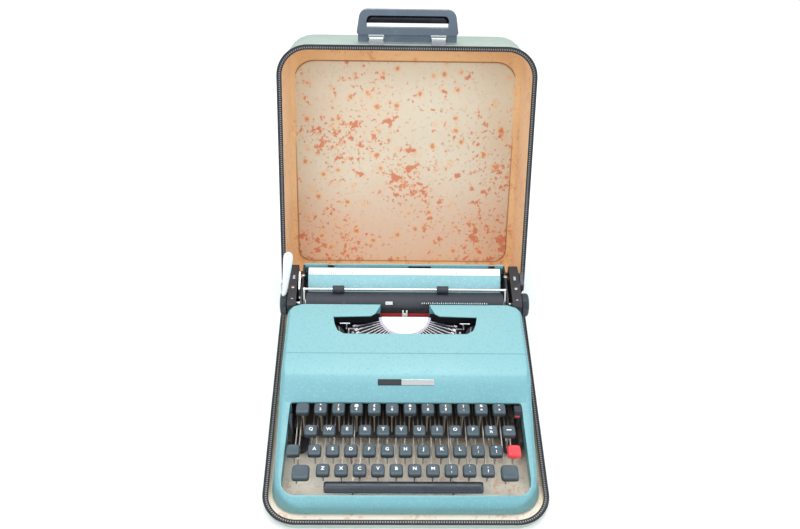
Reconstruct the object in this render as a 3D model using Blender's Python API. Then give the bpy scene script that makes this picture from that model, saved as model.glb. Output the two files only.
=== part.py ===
"""Portable typewriter seated in its open zip case.

Shapes are laid out in millimetres and turned into metres when a mesh is made. X runs to the
typist's right, Y to the rear and Z up. While a shape is laid out, Y is a station counted from just
in front of the machine; the stations are then shifted so that the origin lies on the floor under
the middle of the case. Every piece that moves has its origin on its joint's axis.
"""

import math

import bmesh
import bpy
from mathutils import Matrix, Vector

MM = 0.001
GAP = 0.3

# Carrying case, in plan and in height
CASE_FRONT = -7.0
CASE_REAR = 315.0
CASE_HALF_FRONT = 146.0
CASE_HALF_REAR = 153.5
CASE_CORNER_FRONT = 34.0
CASE_CORNER_REAR = 20.0
CASE_TOP = 108.0
RIM_FRONT = 12.0
RIM_REAR = 22.0
TRAY_FLOOR = 2.0
TRAY_WALL = 2.2
LID_WALL = 2.0
LID_OPEN_DEG = 106.0
STATION_SHIFT = -(CASE_FRONT + CASE_REAR) / 2

# Carrying handle, laid out on the closed case's front wall
HANDLE_HEIGHT_ON_WALL = 40.5
HANDLE_BASE_HALF = 59.0
HANDLE_TOP_HALF = 54.5
HANDLE_REACH = 34.0
HANDLE_THICK = 9.0
HANDLE_STANDOFF = 4.5
HANDLE_GRIP = 6.5
HANDLE_WEB = 2.2
LUG_X = 36.0
LUG_HALF = 8.0

# Body casing
BODY_FRONT = 7.0
BODY_HALF_BOTTOM = 141.5
BODY_HALF_TOP = 137.0
BODY_CORNER = 30.0
BODY_BOTTOM = 5.0
BODY_SHEET = 2.0
WELL_FRONT = 18.0
WELL_REAR = 108.0
RIDGE = 138.0
SEAM = 161.0
COVER_REAR = 234.6
SHELL_END = 300.0
SIDE_SEAM_Z = 61.5
CARRIAGE_DECK_Z = 54.0

# Keyboard
KEY_PITCH = 19.05
KEY_WIDTH = 14.2
KEY_DEPTH = 13.8
KEY_HEIGHT = 6.5
ROW_Y = {1: 96.0, 2: 76.0, 3: 57.0, 4: 38.0}
ROW_TOP = {1: 68.0, 2: 56.6, 3: 47.8, 4: 40.3}
ROW_FIRST_X = {1: -110.4, 2: -100.8, 3: -96.3, 4: -86.8}
ROW_LEVER_Z = {1: 31.5, 2: 29.0, 3: 26.5, 4: 23.0}
ROW_LETTERS = {2: "qwertyuiop", 3: "asdfghjkl", 4: "zxcvbnm"}
FULCRUM = (165.0, 34.0)
LEVER_THICK = 1.2
LEVER_HALF = 2.0

# Carriage
PLATEN_AXIS = (251.0, 73.0)
PLATEN_RADIUS = 14.5
PLATEN_HALF = 117.5
SHAFT_RADIUS = 3.0
KNOB_RADIUS = 14.0
KNOB_INNER = 140.0
KNOB_OUTER = 148.3
BAIL_PIVOT = (240.0, 66.0)
BAIL_ROD = (256.5, 91.5)
LEVER_PIVOT = (-143.0, 95.0)
LEVER_TOP_Z = 155.5
SEGMENT_CENTRE = (227.0, 77.0)
SEGMENT_SLOPE = math.radians(6)
LINE_SPACE_Z = 91.0


# ---------------------------------------------------------------- mesh tools


def world(x, y, z):
    """A laid-out point in metres."""
    return Vector((x, y + STATION_SHIFT, z)) * MM


def mesh_object(name, points, faces):
    """An object from laid-out points, with its faces turned outwards."""
    mesh = bpy.data.meshes.new(name)
    mesh.from_pydata([world(*p) for p in points], [], faces)
    shape = bmesh.new()
    shape.from_mesh(mesh)
    bmesh.ops.recalc_face_normals(shape, faces=shape.faces)
    if shape.calc_volume(signed=True) < 0:
        bmesh.ops.reverse_faces(shape, faces=shape.faces)
    shape.to_mesh(mesh)
    shape.free()
    obj = bpy.data.objects.new(name, mesh)
    bpy.context.scene.collection.objects.link(obj)
    return obj


def loft(name, loops):
    """A solid through loops of equal length, closed by a flat cap at each end."""
    count = len(loops[0])
    points = [point for loop in loops for point in loop]
    faces = [tuple(range(count)), tuple(range(len(points) - count, len(points)))]
    for row in range(len(loops) - 1):
        for i in range(count):
            j = (i + 1) % count
            base = row * count
            faces.append((base + i, base + j, base + count + j, base + count + i))
    return mesh_object(name, points, faces)


def box(x0, x1, y0, y1, z0, z1):
    corners = [(x0, y0), (x1, y0), (x1, y1), (x0, y1)]
    return plate(corners, z0, z1)


def plate(outline, z0, z1):
    """An XY outline extruded from z0 to z1."""
    return loft("plate", [[(x, y, z) for x, y in outline] for z in (z0, z1)])


def rail(profile, x0, x1):
    """A YZ profile extruded from x0 to x1."""
    return loft("rail", [[(x, y, z) for y, z in profile] for x in (x0, x1)])


def blade(profile, y0, y1):
    """An XZ profile extruded from y0 to y1."""
    return loft("blade", [[(x, y, z) for x, z in profile] for y in (y0, y1)])


def arc(cy, cz, radius, start, end, steps):
    """Points on an arc, in degrees, counter-clockwise where end is larger."""
    found = []
    for i in range(steps + 1):
        angle = math.radians(start + (end - start) * i / steps)
        found.append((cy + radius * math.cos(angle), cz + radius * math.sin(angle)))
    return found


def rounded(corners, radii, steps=4):
    """An outline with its corners replaced by arcs of the given radii."""
    outline = []
    count = len(corners)
    for i, radius in enumerate(radii):
        here = Vector(corners[i])
        before = (Vector(corners[i - 1]) - here).normalized()
        after = (Vector(corners[(i + 1) % count]) - here).normalized()
        if radius <= 0:
            outline.append(tuple(here))
            continue
        half = before.angle(after) / 2
        centre = here + (before + after).normalized() * (radius / math.sin(half))
        first = here + before * (radius / math.tan(half)) - centre
        last = here + after * (radius / math.tan(half)) - centre
        turn = first.angle_signed(last)
        for k in range(steps + 1):
            spoke = first.copy()
            spoke.rotate(Matrix.Rotation(-turn * k / steps, 2))
            outline.append(tuple(centre + spoke))
    return outline


def bar(axis, centre, radius, start, end, sides=12):
    """A round bar along X, Y or Z; centre holds the other two coordinates in X, Y, Z order."""
    ring = arc(centre[0], centre[1], radius, 0, 360, sides)[:-1]
    if axis == "x":
        return loft("bar", [[(t, a, b) for a, b in ring] for t in (start, end)])
    if axis == "y":
        return loft("bar", [[(a, t, b) for a, b in ring] for t in (start, end)])
    return loft("bar", [[(a, b, t) for a, b in ring] for t in (start, end)])


def turned(centre, profile, sides=18):
    """A solid turned about a vertical axis from (radius, z) pairs, first and last on a flat end."""
    loops = []
    for radius, z in profile:
        ring = arc(centre[0], centre[1], radius, 0, 360, sides)[:-1]
        loops.append([(x, y, z) for x, y in ring])
    return loft("turned", loops)


def combine(operation, base, tools):
    """Applies each tool to the base by a Boolean and removes the tools."""
    for tool in tools:
        modifier = base.modifiers.new("combine", "BOOLEAN")
        modifier.operation = operation
        modifier.solver = "EXACT"
        modifier.object = tool
        graph = bpy.context.evaluated_depsgraph_get()
        result = bpy.data.meshes.new_from_object(base.evaluated_get(graph))
        base.modifiers.clear()
        base.data = result
        bpy.data.objects.remove(tool)
    return base


def fuse(base, *tools):
    return combine("UNION", base, tools)


def cut(base, *tools):
    return combine("DIFFERENCE", base, tools)


def material(name, colour, roughness, metallic=0.0):
    """A Principled material, made once for each name."""
    if name in bpy.data.materials:
        return bpy.data.materials[name]
    made = bpy.data.materials.new(name)
    made.use_nodes = True
    shader = made.node_tree.nodes["Principled BSDF"]
    shader.inputs["Base Color"].default_value = (*colour, 1.0)
    shader.inputs["Roughness"].default_value = roughness
    shader.inputs["Metallic"].default_value = metallic
    made.diffuse_color = (*colour, 1.0)
    return made


def finish(obj, name, look, parent=None, origin=None):
    """Names a piece, gives it a material, and moves its origin to a laid-out point."""
    obj.name = name
    obj.data.name = name
    obj.data.materials.clear()
    obj.data.materials.append(look)
    obj.data.shade_smooth()
    obj.data.set_sharp_from_angle(angle=math.radians(35))
    if origin is not None:
        pivot = world(*origin)
        obj.data.transform(Matrix.Translation(-pivot))
        obj.location = pivot
    if parent is not None:
        obj.parent = parent
    return obj


def group(name):
    """An empty at the origin that gathers the pieces of one assembly."""
    made = bpy.data.objects.new(name, None)
    bpy.context.scene.collection.objects.link(made)
    return made


# ---------------------------------------------------------------- finishes


def teal_paint():
    return material("teal_paint", (0.27, 0.55, 0.58), 0.45)


def black_metal():
    return material("black_metal", (0.02, 0.02, 0.024), 0.5, 0.3)


def steel():
    return material("steel", (0.62, 0.61, 0.58), 0.28, 1.0)


def dark_rubber():
    return material("dark_rubber", (0.035, 0.038, 0.05), 0.7)


def key_plastic():
    return material("key_plastic", (0.085, 0.105, 0.13), 0.4)


def red_plastic():
    return material("red_plastic", (0.85, 0.11, 0.13), 0.35)


def black_plastic():
    return material("black_plastic", (0.02, 0.022, 0.028), 0.4)


def case_vinyl():
    return material("case_vinyl", (0.33, 0.42, 0.36), 0.6)


def handle_plastic():
    return material("handle_plastic", (0.14, 0.18, 0.22), 0.2)


# ---------------------------------------------------------------- carrying case


def rim_height(y):
    """Height of the split between tray and lid, which rises towards the hinge."""
    return RIM_FRONT + (RIM_REAR - RIM_FRONT) * (y - CASE_FRONT) / (CASE_REAR - CASE_FRONT)


def case_outline(inset):
    """The case's plan, drawn in from its outer face by inset."""
    front = CASE_FRONT + inset
    rear = CASE_REAR - inset
    half_front = CASE_HALF_FRONT - inset
    half_rear = CASE_HALF_REAR - inset
    corners = [(-half_front, front), (half_front, front), (half_rear, rear), (-half_rear, rear)]
    front_radius = max(CASE_CORNER_FRONT - inset, 4.0)
    rear_radius = max(CASE_CORNER_REAR - inset, 4.0)
    return rounded(corners, [front_radius, front_radius, rear_radius, rear_radius], steps=6)


def case_tray(parent):
    """A shallow tray: floor, low walls and a rim that slopes up to the hinge."""
    wall = TRAY_WALL
    loops = [
        [(x, y, 0.0) for x, y in case_outline(2.5)],
        [(x, y, 2.5) for x, y in case_outline(0.0)],
        [(x, y, rim_height(y)) for x, y in case_outline(0.0)],
        [(x, y, rim_height(y)) for x, y in case_outline(wall)],
        [(x, y, TRAY_FLOOR + 1.5) for x, y in case_outline(wall)],
        [(x, y, TRAY_FLOOR) for x, y in case_outline(wall + 1.5)],
    ]
    return finish(loft("tray", loops), "case_tray", case_vinyl(), parent)


def handle_lug(centre_x):
    """A clip on the lid's front wall that holds the handle's rod."""
    y = CASE_FRONT
    z = HANDLE_HEIGHT_ON_WALL
    reach = HANDLE_STANDOFF + 3.0
    profile = [(y + 1.0, z - 5.5), (y - reach + 2.0, z - 5.5), (y - reach, z - 3.5)]
    profile += [(y - reach, z + 3.5), (y - reach + 2.0, z + 5.5), (y + 1.0, z + 5.5)]
    lug = rail(profile, centre_x - LUG_HALF, centre_x + LUG_HALF)
    reach = LUG_HALF + 1.5
    bore = bar("x", (y - HANDLE_STANDOFF, z), 2.3, centre_x - reach, centre_x + reach, 10)
    return cut(lug, bore)


def case_lid(parent):
    """A deep lid with a soft-edged top, laid out closed and then swung open about the hinge."""
    wall = LID_WALL
    clear = 0.5
    loops = [
        [(x, y, CASE_TOP - 2.2) for x, y in case_outline(11.0)],
        [(x, y, CASE_TOP - 5.0) for x, y in case_outline(5.0)],
        [(x, y, CASE_TOP - 11.0) for x, y in case_outline(wall)],
        [(x, y, rim_height(y) + clear) for x, y in case_outline(wall)],
        [(x, y, rim_height(y) + clear) for x, y in case_outline(0.0)],
        [(x, y, CASE_TOP - 10.0) for x, y in case_outline(0.0)],
        [(x, y, CASE_TOP - 3.0) for x, y in case_outline(3.0)],
        [(x, y, CASE_TOP) for x, y in case_outline(9.5)],
    ]
    lid = fuse(loft("lid", loops), handle_lug(-LUG_X), handle_lug(LUG_X))
    hinge = (0.0, CASE_REAR, RIM_REAR + clear / 2)
    lid = finish(lid, "case_lid", case_vinyl(), parent, hinge)
    lid.rotation_euler = (-math.radians(LID_OPEN_DEG), 0.0, 0.0)
    return lid


def carry_handle(lid):
    """A flat grip that pivots on a rod between the lid's two clips, hollowed from its front."""
    y = CASE_FRONT - HANDLE_STANDOFF
    z = HANDLE_HEIGHT_ON_WALL
    half = HANDLE_THICK / 2
    tip = y - HANDLE_REACH
    base = y - 6.0
    corners = [(-HANDLE_BASE_HALF, base), (-HANDLE_TOP_HALF, tip)]
    corners += [(HANDLE_TOP_HALF, tip), (HANDLE_BASE_HALF, base)]
    loop = plate(rounded(corners, [3.0, 9.0, 9.0, 3.0]), z - half, z + half)
    near, far = y - 14.0, tip + HANDLE_GRIP
    hollow = rounded([(-48.0, near), (-46.5, far), (46.5, far), (48.0, near)], [2.0, 5.0, 5.0, 2.0])
    gap = rounded([(-47.0, near), (-47.0, near - 5.0), (47.0, near - 5.0), (47.0, near)], [1.0] * 4)
    loop = cut(loop, plate(hollow, z - half - 1.0, z + half - HANDLE_WEB))
    loop = cut(loop, plate(gap, z - 20.0, z + 20.0))
    rod = bar("x", (y, z), 1.9, -HANDLE_BASE_HALF + 2, HANDLE_BASE_HALF - 2, 10)
    inner = LUG_X - LUG_HALF - 0.9
    outer = LUG_X + LUG_HALF + 0.9
    ears = [(-HANDLE_BASE_HALF + 2.0, -outer), (-inner, inner), (outer, HANDLE_BASE_HALF - 2.0)]
    webs = [box(x0, x1, base - 1.0, y + 2.5, z - 2.8, z + 2.8) for x0, x1 in ears]
    loop = fuse(loop, *webs, rod)
    handle = finish(loop, "carry_handle", handle_plastic())
    # The handle is laid out on the closed lid, so it takes the lid's swing about the hinge.
    hinge = lid.location
    swing = Matrix.Rotation(lid.rotation_euler.x, 4, "X")
    handle.data.transform(Matrix.Translation(hinge) @ swing @ Matrix.Translation(-hinge))
    pivot = hinge + swing.to_3x3() @ (world(0.0, y, z) - hinge)
    handle.data.transform(Matrix.Translation(-pivot))
    handle.location = pivot
    return handle


# ---------------------------------------------------------------- body casing


def profile_height(y):
    """Height of the casing's top line along the machine."""
    line = [(BODY_FRONT, 13.0), (10.0, 19.0), (WELL_FRONT, 22.5), (WELL_REAR, 62.0)]
    line += [(RIDGE - 6.0, 77.4), (RIDGE + 3.0, 81.0), (COVER_REAR, 88.0), (SHELL_END, 93.0)]
    for (y0, z0), (y1, z1) in zip(line, line[1:]):
        if y <= y1:
            return z0 + (z1 - z0) * max(y - y0, 0.0) / (y1 - y0)
    return line[-1][1]


def body_half(y, bottom):
    """Half width of the casing at a station, with rounded front corners."""
    half = BODY_HALF_BOTTOM if bottom else BODY_HALF_TOP
    run = y - BODY_FRONT
    if run >= BODY_CORNER:
        return half
    return half - BODY_CORNER + math.sqrt(BODY_CORNER**2 - (BODY_CORNER - run) ** 2)


def casing_section(y, inset, base, top, radius, half_bottom, half_top):
    """An upright arch across the machine: two walls with draft, and rounded shoulders."""
    radius = max(radius - inset, 0.6)
    left = []
    for side in (-1, 1):
        low = (side * (half_bottom - inset), y, base)
        shoulder = half_top - inset - radius
        curve = []
        for x, z in arc(shoulder, top - inset - radius, radius, 0, 90, 3):
            curve.append((side * x, y, z))
        if side < 0:
            left = [low] + curve
        else:
            right = curve[::-1] + [low]
    return left + right


def shoulder_radius(y):
    """The casing's edges are tight along the keyboard and full over the top."""
    if y < WELL_REAR:
        return 4.5
    return min(4.5 + (y - WELL_REAR) * 0.15, 6.0)


def casing_sections(stations, inset, base, drop=0.0):
    loops = []
    for y in stations:
        top = profile_height(y) - drop
        halves = (body_half(y, True), body_half(y, False))
        loops.append(casing_section(y, inset, base, top, shoulder_radius(y), *halves))
    return loops


def side_sections(stations, inset, base, top):
    loops = []
    for y in stations:
        halves = (body_half(y, True), BODY_HALF_TOP + 1.2)
        loops.append(casing_section(y, inset, base, top, 1.0, *halves))
    return loops


def well_outline(grow=0.0):
    corners = [(-131.0, WELL_FRONT), (131.0, WELL_FRONT), (125.0, WELL_REAR), (-125.0, WELL_REAR)]
    corners = [(x + math.copysign(grow, x), y) for x, y in corners]
    return rounded(corners, [13.0, 13.0, 3.0, 3.0])


def body_shell(parent):
    """Front lip, side rails and front panel in one shell, with low walls running to the rear."""
    front = [BODY_FRONT, 8.5, 12.0, WELL_FRONT, 27.0, BODY_FRONT + BODY_CORNER]
    upper = front + [70.0, WELL_REAR, 120.0, RIDGE - 6.0, RIDGE - 1.0, RIDGE + 3.0, SEAM]
    outer = casing_sections(upper, 0.0, BODY_BOTTOM)
    outer += side_sections([SEAM + 0.05, COVER_REAR + 1.0], 0.0, BODY_BOTTOM, SIDE_SEAM_Z)
    outer += side_sections([COVER_REAR + 1.1, SHELL_END], 0.0, BODY_BOTTOM, CARRIAGE_DECK_Z)
    shell = loft("shell", outer)
    below = BODY_BOTTOM - 8.0
    rails = casing_sections([24.0, 45.0, 70.0, WELL_REAR - 0.5], BODY_SHEET, below, 12.0)
    panel = [WELL_REAR - 0.4, 120.0, RIDGE - 6.0, RIDGE - 1.0, RIDGE + 3.0, SEAM - 2.0]
    hollow = rails + casing_sections(panel, BODY_SHEET, below)
    hollow += side_sections([SEAM - 1.9, SHELL_END + 5.0], BODY_SHEET, below, SIDE_SEAM_Z - 6.0)
    shell = cut(shell, loft("hollow", hollow))
    rear_gap = box(-136.0, 136.0, SEAM - 2.5, SHELL_END + 5.0, 40.0, SIDE_SEAM_Z + 5.0)
    rear_bay = box(-128.0, 128.0, SEAM - 2.5, SEAM + 2.0, 30.0, profile_height(SEAM) - 8.0)
    well = plate(well_outline(), -5.0, 120.0)
    return finish(cut(shell, rear_gap, rear_bay, well), "body_shell", teal_paint(), parent)


def cover_half(y, half):
    """The cover's half width, rounded in plan at its rear corners."""
    radius = 12.0
    run = COVER_REAR - y
    if run >= radius:
        return half
    return half - radius + math.sqrt(radius**2 - (radius - run) ** 2)


def cover_sections(stations, inset, base):
    loops = []
    for y in stations:
        top = profile_height(y)
        low = cover_half(y, BODY_HALF_TOP + 1.2)
        high = cover_half(y, BODY_HALF_TOP)
        loops.append(casing_section(y, inset, base, top, shoulder_radius(y), low, high))
    return loops


def ribbon_cover(parent):
    """The lift-off top, with the notch for the type guide and the wide slot over the typebars."""
    front = SEAM + 0.4
    rear = [COVER_REAR - 12.0, COVER_REAR - 8.0, COVER_REAR - 3.5, COVER_REAR]
    cover = loft("cover", cover_sections([front, 195.0] + rear, 0.0, SIDE_SEAM_Z + 0.6))
    inner = cover_sections([front - 3.0, 195.0, rear[0], rear[1] - 1.0, rear[2] - 2.0], 1.6, 50.0)
    cover = cut(cover, loft("cover_inner", inner))
    half = [(28.5, COVER_REAR + 5.0), (28.5, COVER_REAR - 1.0), (31.5, 227.0), (34.5, 220.5)]
    half += [(40.0, 216.5), (83.0, 215.0), (81.0, 204.0), (77.5, 195.0), (70.0, 190.0)]
    outline = half + [(-x, y) for x, y in reversed(half)]
    return finish(cut(cover, plate(outline, 40.0, 120.0)), "ribbon_cover", teal_paint(), parent)


def rear_cover(parent):
    """The back wall: a low part as wide as the body and a higher, narrower crest."""
    low = rounded([(-139, 300.4), (139, 300.4), (139, 308), (-139, 308)], [0, 0, 5, 5], 3)
    inner = rounded([(-137, 299), (137, 299), (137, 306), (-137, 306)], [0, 0, 3, 3], 3)
    wall = cut(plate(low, BODY_BOTTOM + 1.0, CARRIAGE_DECK_Z), plate(inner, 0.0, 90.0))
    crest = [(302.6, 50.0), (302.6, 86.0), (304.6, 89.0), (306.6, 89.0), (308.0, 86.5)]
    crest += [(308.0, 50.0)]
    return finish(fuse(wall, rail(crest, -123.0, 123.0)), "rear_cover", teal_paint(), parent)


# ---------------------------------------------------------------- inner frame


def frame(parent):
    """Two side plates tied by cross bars, the levers' fulcrum rod, the carriage rail and feet."""
    side = [(80.0, 9.0), (296.0, 9.0), (296.0, 54.0), (240.0, 58.0), (160.0, 58.0), (130.0, 40.0)]
    side += [(80.0, 30.0)]
    left = rail(side, -127.5, -124.5)
    right = rail(side, 124.5, 127.5)
    front_tie = box(-125.5, 125.5, 104.0, 112.0, 6.0, 10.5)
    rear_tie = box(-125.5, 125.5, 283.0, 292.0, 9.5, 14.0)
    track = box(-125.5, 125.5, 270.0, 286.0, 48.0, 55.0)
    fulcrum = bar("x", FULCRUM, 2.2, -125.5, 125.5, 10)
    frame_body = fuse(left, front_tie, rear_tie, track, fulcrum, right)
    for side_x in (-1, 1):
        for y in (92.0, 284.0):
            foot = bar("z", (side_x * 116.0, y), 8.0, TRAY_FLOOR + GAP, 10.2, 12)
            shelf = box(*sorted((side_x * 106.0, side_x * 125.5)), y - 9.0, y + 9.0, 9.6, 12.0)
            frame_body = fuse(frame_body, shelf, foot)
    return finish(frame_body, "frame", black_metal(), parent)


def lever_comb(parent):
    """The plate below the key levers, with an upright comb along its front edge."""
    teeth = [(99.0, 13.0), (158.0, 13.0), (158.0, 14.6), (101.0, 14.6), (101.0, 17.0), (99.0, 17.0)]
    comb = rail(teeth, -118.0, 118.0)
    return finish(comb, "lever_comb", material("brown_plate", (0.1, 0.075, 0.068), 0.6), parent)


# ---------------------------------------------------------------- typing mechanism


def type_basket(parent):
    """The type segment's half disc and the fan of typebars at rest, on one sloping plane."""
    run, fall = math.cos(SEGMENT_SLOPE), math.sin(SEGMENT_SLOPE)

    def on_plane(across, down, off):
        y = SEGMENT_CENTRE[0] - down * run + off * fall
        z = SEGMENT_CENTRE[1] - down * fall - off * run
        return (across, y, z)

    def sector(inner, outer, start, end, near, far):
        outline = arc(0.0, 0.0, outer, start, end, 14)
        if inner > 0:
            outline += arc(0.0, 0.0, inner, end, start, 10)
        return loft("sector", [[on_plane(a, d, off) for a, d in outline] for off in (near, far)])

    segment = sector(0.0, 27.0, 3, 177, 0.0, 5.0)
    fan = sector(24.0, 66.0, 25, 155, 1.5, 4.0)
    return finish(fuse(segment, fan), "type_basket", steel(), parent, (0.0, *SEGMENT_CENTRE))


def ribbon_guide(parent):
    """The fork in front of the platen that lifts the ribbon to the printing point."""
    left = box(-3.6, -2.0, 231.0, 232.4, 62.0, 84.0)
    right = box(2.0, 3.6, 231.0, 232.4, 62.0, 84.0)
    bridge = box(-3.0, 3.0, 231.2, 232.2, 72.0, 75.0)
    foot = box(-3.2, 3.2, 231.1, 232.3, 60.0, 64.0)
    return finish(fuse(left, right, bridge, foot), "ribbon_guide", steel(), parent, (0, 231.7, 62))


def ribbon_spool(parent, side, name):
    """A flanged spool on an upright spindle."""
    profile = [(22.0, 60.0), (22.0, 61.0), (11.0, 61.2), (11.0, 71.4), (22.0, 71.6), (22.0, 72.6)]
    profile += [(6.0, 73.0), (3.0, 74.0), (3.0, 79.0)]
    centre = (side * 91.0, 197.0)
    return finish(turned(centre, profile), name, steel(), parent, (centre[0], centre[1], 66.0))


# ---------------------------------------------------------------- carriage


def carriage_frame(parent):
    """End plates tied by a rear beam, with the margin bar behind the paper table."""
    shape = [(238.0, 60.0), (300.0, 60.0), (300.0, 92.0), (286.0, 93.0), (242.0, 86.0)]
    shape += [(238.0, 82.0)]
    left = rail(shape, -139.4, -129.0)
    left_inner = rail(shape, -124.0, -121.6)
    right = rail(shape, 128.0, 139.4)
    right_inner = rail(shape, 121.6, 123.6)
    beam = box(-138.0, 138.0, 287.0, 299.0, 59.5, 68.0)
    margin_bar = bar("x", (297.0, 82.0), 2.0, -130.0, 130.0, 8)
    tie = box(-139.4, -121.6, 287.0, 299.0, 66.0, 72.0)
    carriage = fuse(left, beam, tie, left_inner, right_inner, right, margin_bar)
    shaft_hole = bar("x", PLATEN_AXIS, SHAFT_RADIUS + 0.5, -150.0, 150.0, 14)
    return finish(cut(carriage, shaft_hole), "carriage_frame", black_metal(), parent)


def platen(parent):
    """The rubber roller with its shaft."""
    roller = bar("x", PLATEN_AXIS, PLATEN_RADIUS, -PLATEN_HALF, PLATEN_HALF, 28)
    shaft = bar("x", PLATEN_AXIS, SHAFT_RADIUS, -KNOB_INNER + GAP, KNOB_INNER - GAP, 14)
    origin = (0.0, *PLATEN_AXIS)
    return finish(fuse(roller, shaft), "platen", dark_rubber(), parent, origin)


def platen_knob(parent, side, name):
    """A knurled disc with a softened outer edge."""
    loops = []
    steps = [(KNOB_INNER, KNOB_RADIUS - 1.0), (KNOB_INNER + 1.2, KNOB_RADIUS)]
    steps += [(KNOB_OUTER - 1.6, KNOB_RADIUS), (KNOB_OUTER, KNOB_RADIUS - 2.0)]
    for x, radius in steps:
        ring = arc(*PLATEN_AXIS, radius, 0, 360, 24)[:-1]
        loops.append([(side * x, y, z) for y, z in ring])
    return finish(loft("knob", loops), name, black_plastic(), parent, (0.0, *PLATEN_AXIS))


def paper_table(parent):
    """The sloping plate behind the platen, with the strip that carries the margin scale."""
    profile = [(267.0, 73.0), (268.6, 73.0), (283.5, 88.6), (292.0, 93.4), (291.4, 94.7)]
    profile += [(282.6, 90.0)]
    return finish(rail(profile, -117.0, 117.0), "paper_table", teal_paint(), parent)


def paper_bail(parent):
    """A rod on two arms that holds the paper to the platen, with two rollers."""
    rod = bar("x", BAIL_ROD, 1.5, -121.0, 121.0, 8)
    tools = []
    for centre in (-79.0, 45.0):
        tools.append(bar("x", BAIL_ROD, 4.5, centre - 7.0, centre + 7.0, 12))
    slope = math.atan2(BAIL_ROD[1] - BAIL_PIVOT[1], BAIL_ROD[0] - BAIL_PIVOT[0])
    across = (2.2 * math.sin(slope), -2.2 * math.cos(slope))
    arm = [(BAIL_PIVOT[0] + across[0], BAIL_PIVOT[1] + across[1])]
    arm += [(BAIL_ROD[0] + across[0], BAIL_ROD[1] + across[1])]
    arm += [(BAIL_ROD[0] - across[0], BAIL_ROD[1] - across[1])]
    arm += [(BAIL_PIVOT[0] - across[0], BAIL_PIVOT[1] - across[1])]
    tools += [rail(arm, -120.8, -118.6), rail(arm, 118.6, 120.8)]
    return finish(fuse(rod, *tools), "paper_bail", steel(), parent, (0.0, *BAIL_PIVOT))


def margin_stop(parent, centre, name):
    """A stop that rides along the margin bar, with a finger tab."""
    body = box(centre - 6.5, centre + 6.5, 293.8, 300.2, 78.5, 87.0)
    tab = box(centre - 4.0, centre + 4.0, 294.6, 297.0, 86.5, 97.5)
    track = bar("x", (297.0, 82.0), 2.4, centre - 8.0, centre + 8.0, 8)
    opening = box(centre - 8.0, centre + 8.0, 296.0, 301.0, 76.0, 82.0)
    stop = cut(fuse(body, tab), track, opening)
    return finish(stop, name, steel(), parent, (centre, 297.0, 82.0))


def line_space_arm(parent):
    """The arm behind the return lever that turns the platen's ratchet."""
    outline = [(-147.0, 88.2), (-140.4, 88.2), (-139.8, 90.0), (-140.2, 92.5), (-146.0, 92.5)]
    origin = (LEVER_PIVOT[0], 255.0, LINE_SPACE_Z)
    return finish(blade(outline, 249.4, 262.0), "line_space_arm", steel(), parent, origin)


def return_lever(parent):
    """The upright blade that returns the carriage; it folds down to the right."""
    outline = [(-146.0, 90.0), (-144.0, 89.0), (-141.0, 89.4), (-139.6, 93.0), (-128.2, 146.0)]
    outline += [(-128.6, 151.0), (-132.0, LEVER_TOP_Z), (-137.0, LEVER_TOP_Z - 1.0)]
    outline += [(-139.6, LEVER_TOP_Z - 6.0)]
    origin = (LEVER_PIVOT[0], 247.0, LEVER_PIVOT[1])
    look = material("bright_chrome", (0.85, 0.86, 0.87), 0.12, 1.0)
    return finish(blade(outline, 245.0, 249.0), "return_lever", look, parent, origin)


def paper_release_lever(parent):
    """A strip at the left end that opens the feed rolls."""
    profile = [(258.0, 74.0), (263.0, 73.0), (266.0, 80.0), (283.0, 95.0), (281.0, 97.5)]
    profile += [(262.0, 86.0)]
    lever = rail(profile, -127.6, -125.4)
    return finish(lever, "paper_release_lever", steel(), parent, (-126.5, 261.0, 77.0))


def carriage_release_lever(parent):
    """A stepped tab on the outer face of the right end plate."""
    side = [(268.0, 80.0), (290.0, 80.0), (292.0, 88.0), (284.0, 95.0), (270.0, 88.0)]
    tab = rail(side, 139.8, 145.0)
    return finish(tab, "carriage_release_lever", black_plastic(), parent, (142.0, 272.0, 83.0))


# ---------------------------------------------------------------- keyboard


def lever_profile(front_y, lever_z, head_z, tail=()):
    """A lever's YZ outline: a bar hooked over the fulcrum rod, with an upright stem in front."""
    cy, cz = FULCRUM
    stem = 2.0
    profile = [(front_y - stem, lever_z - LEVER_HALF), (cy - 4.4, cz - 2.4)]
    profile += arc(cy, cz, 3.0, 210, -30, 4)
    profile += list(tail) if tail else [(cy + 4.6, cz - 1.4)]
    profile += arc(cy, cz, 4.6, 20, 100, 2)
    profile += [(front_y + stem, lever_z + LEVER_HALF), (front_y + stem, head_z)]
    profile += [(front_y - stem, head_z)]
    return profile


def keytop(x, y, top, width=KEY_WIDTH, depth=KEY_DEPTH):
    """A square key with rounded corners, slightly narrower at its top."""
    loops = []
    for z, inset in ((top - KEY_HEIGHT, 0.0), (top - 2.0, 0.3), (top, 1.0)):
        half_x = width / 2 - inset
        half_y = depth / 2 - inset
        corners = [(x - half_x, y - half_y), (x + half_x, y - half_y)]
        corners += [(x + half_x, y + half_y), (x - half_x, y + half_y)]
        loops.append([(a, b, z) for a, b in rounded(corners, [3.0 - inset] * 4, 2)])
    return loft("keytop", loops)


def key(x, y, top, lever_z, lever_x=None, tail=(), size=(KEY_WIDTH, KEY_DEPTH)):
    """One key: its top, the V-shaped web below it and its lever."""
    lever_x = x if lever_x is None else lever_x
    under = top - KEY_HEIGHT
    head = keytop(x, y, top, *size)
    half = LEVER_THICK / 2
    lever = rail(lever_profile(y, lever_z, under + 1.0, tail), lever_x - half, lever_x + half)
    web = [(lever_x - 3.2, under + 0.6), (lever_x + 3.2, under + 0.6)]
    web += [(lever_x + 0.9, under - 4.5), (lever_x - 0.9, under - 4.5)]
    return fuse(head, blade(web, y - 3.2, y - 0.4), lever)


def key_x(row, place):
    return ROW_FIRST_X[row] + KEY_PITCH * place


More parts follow.
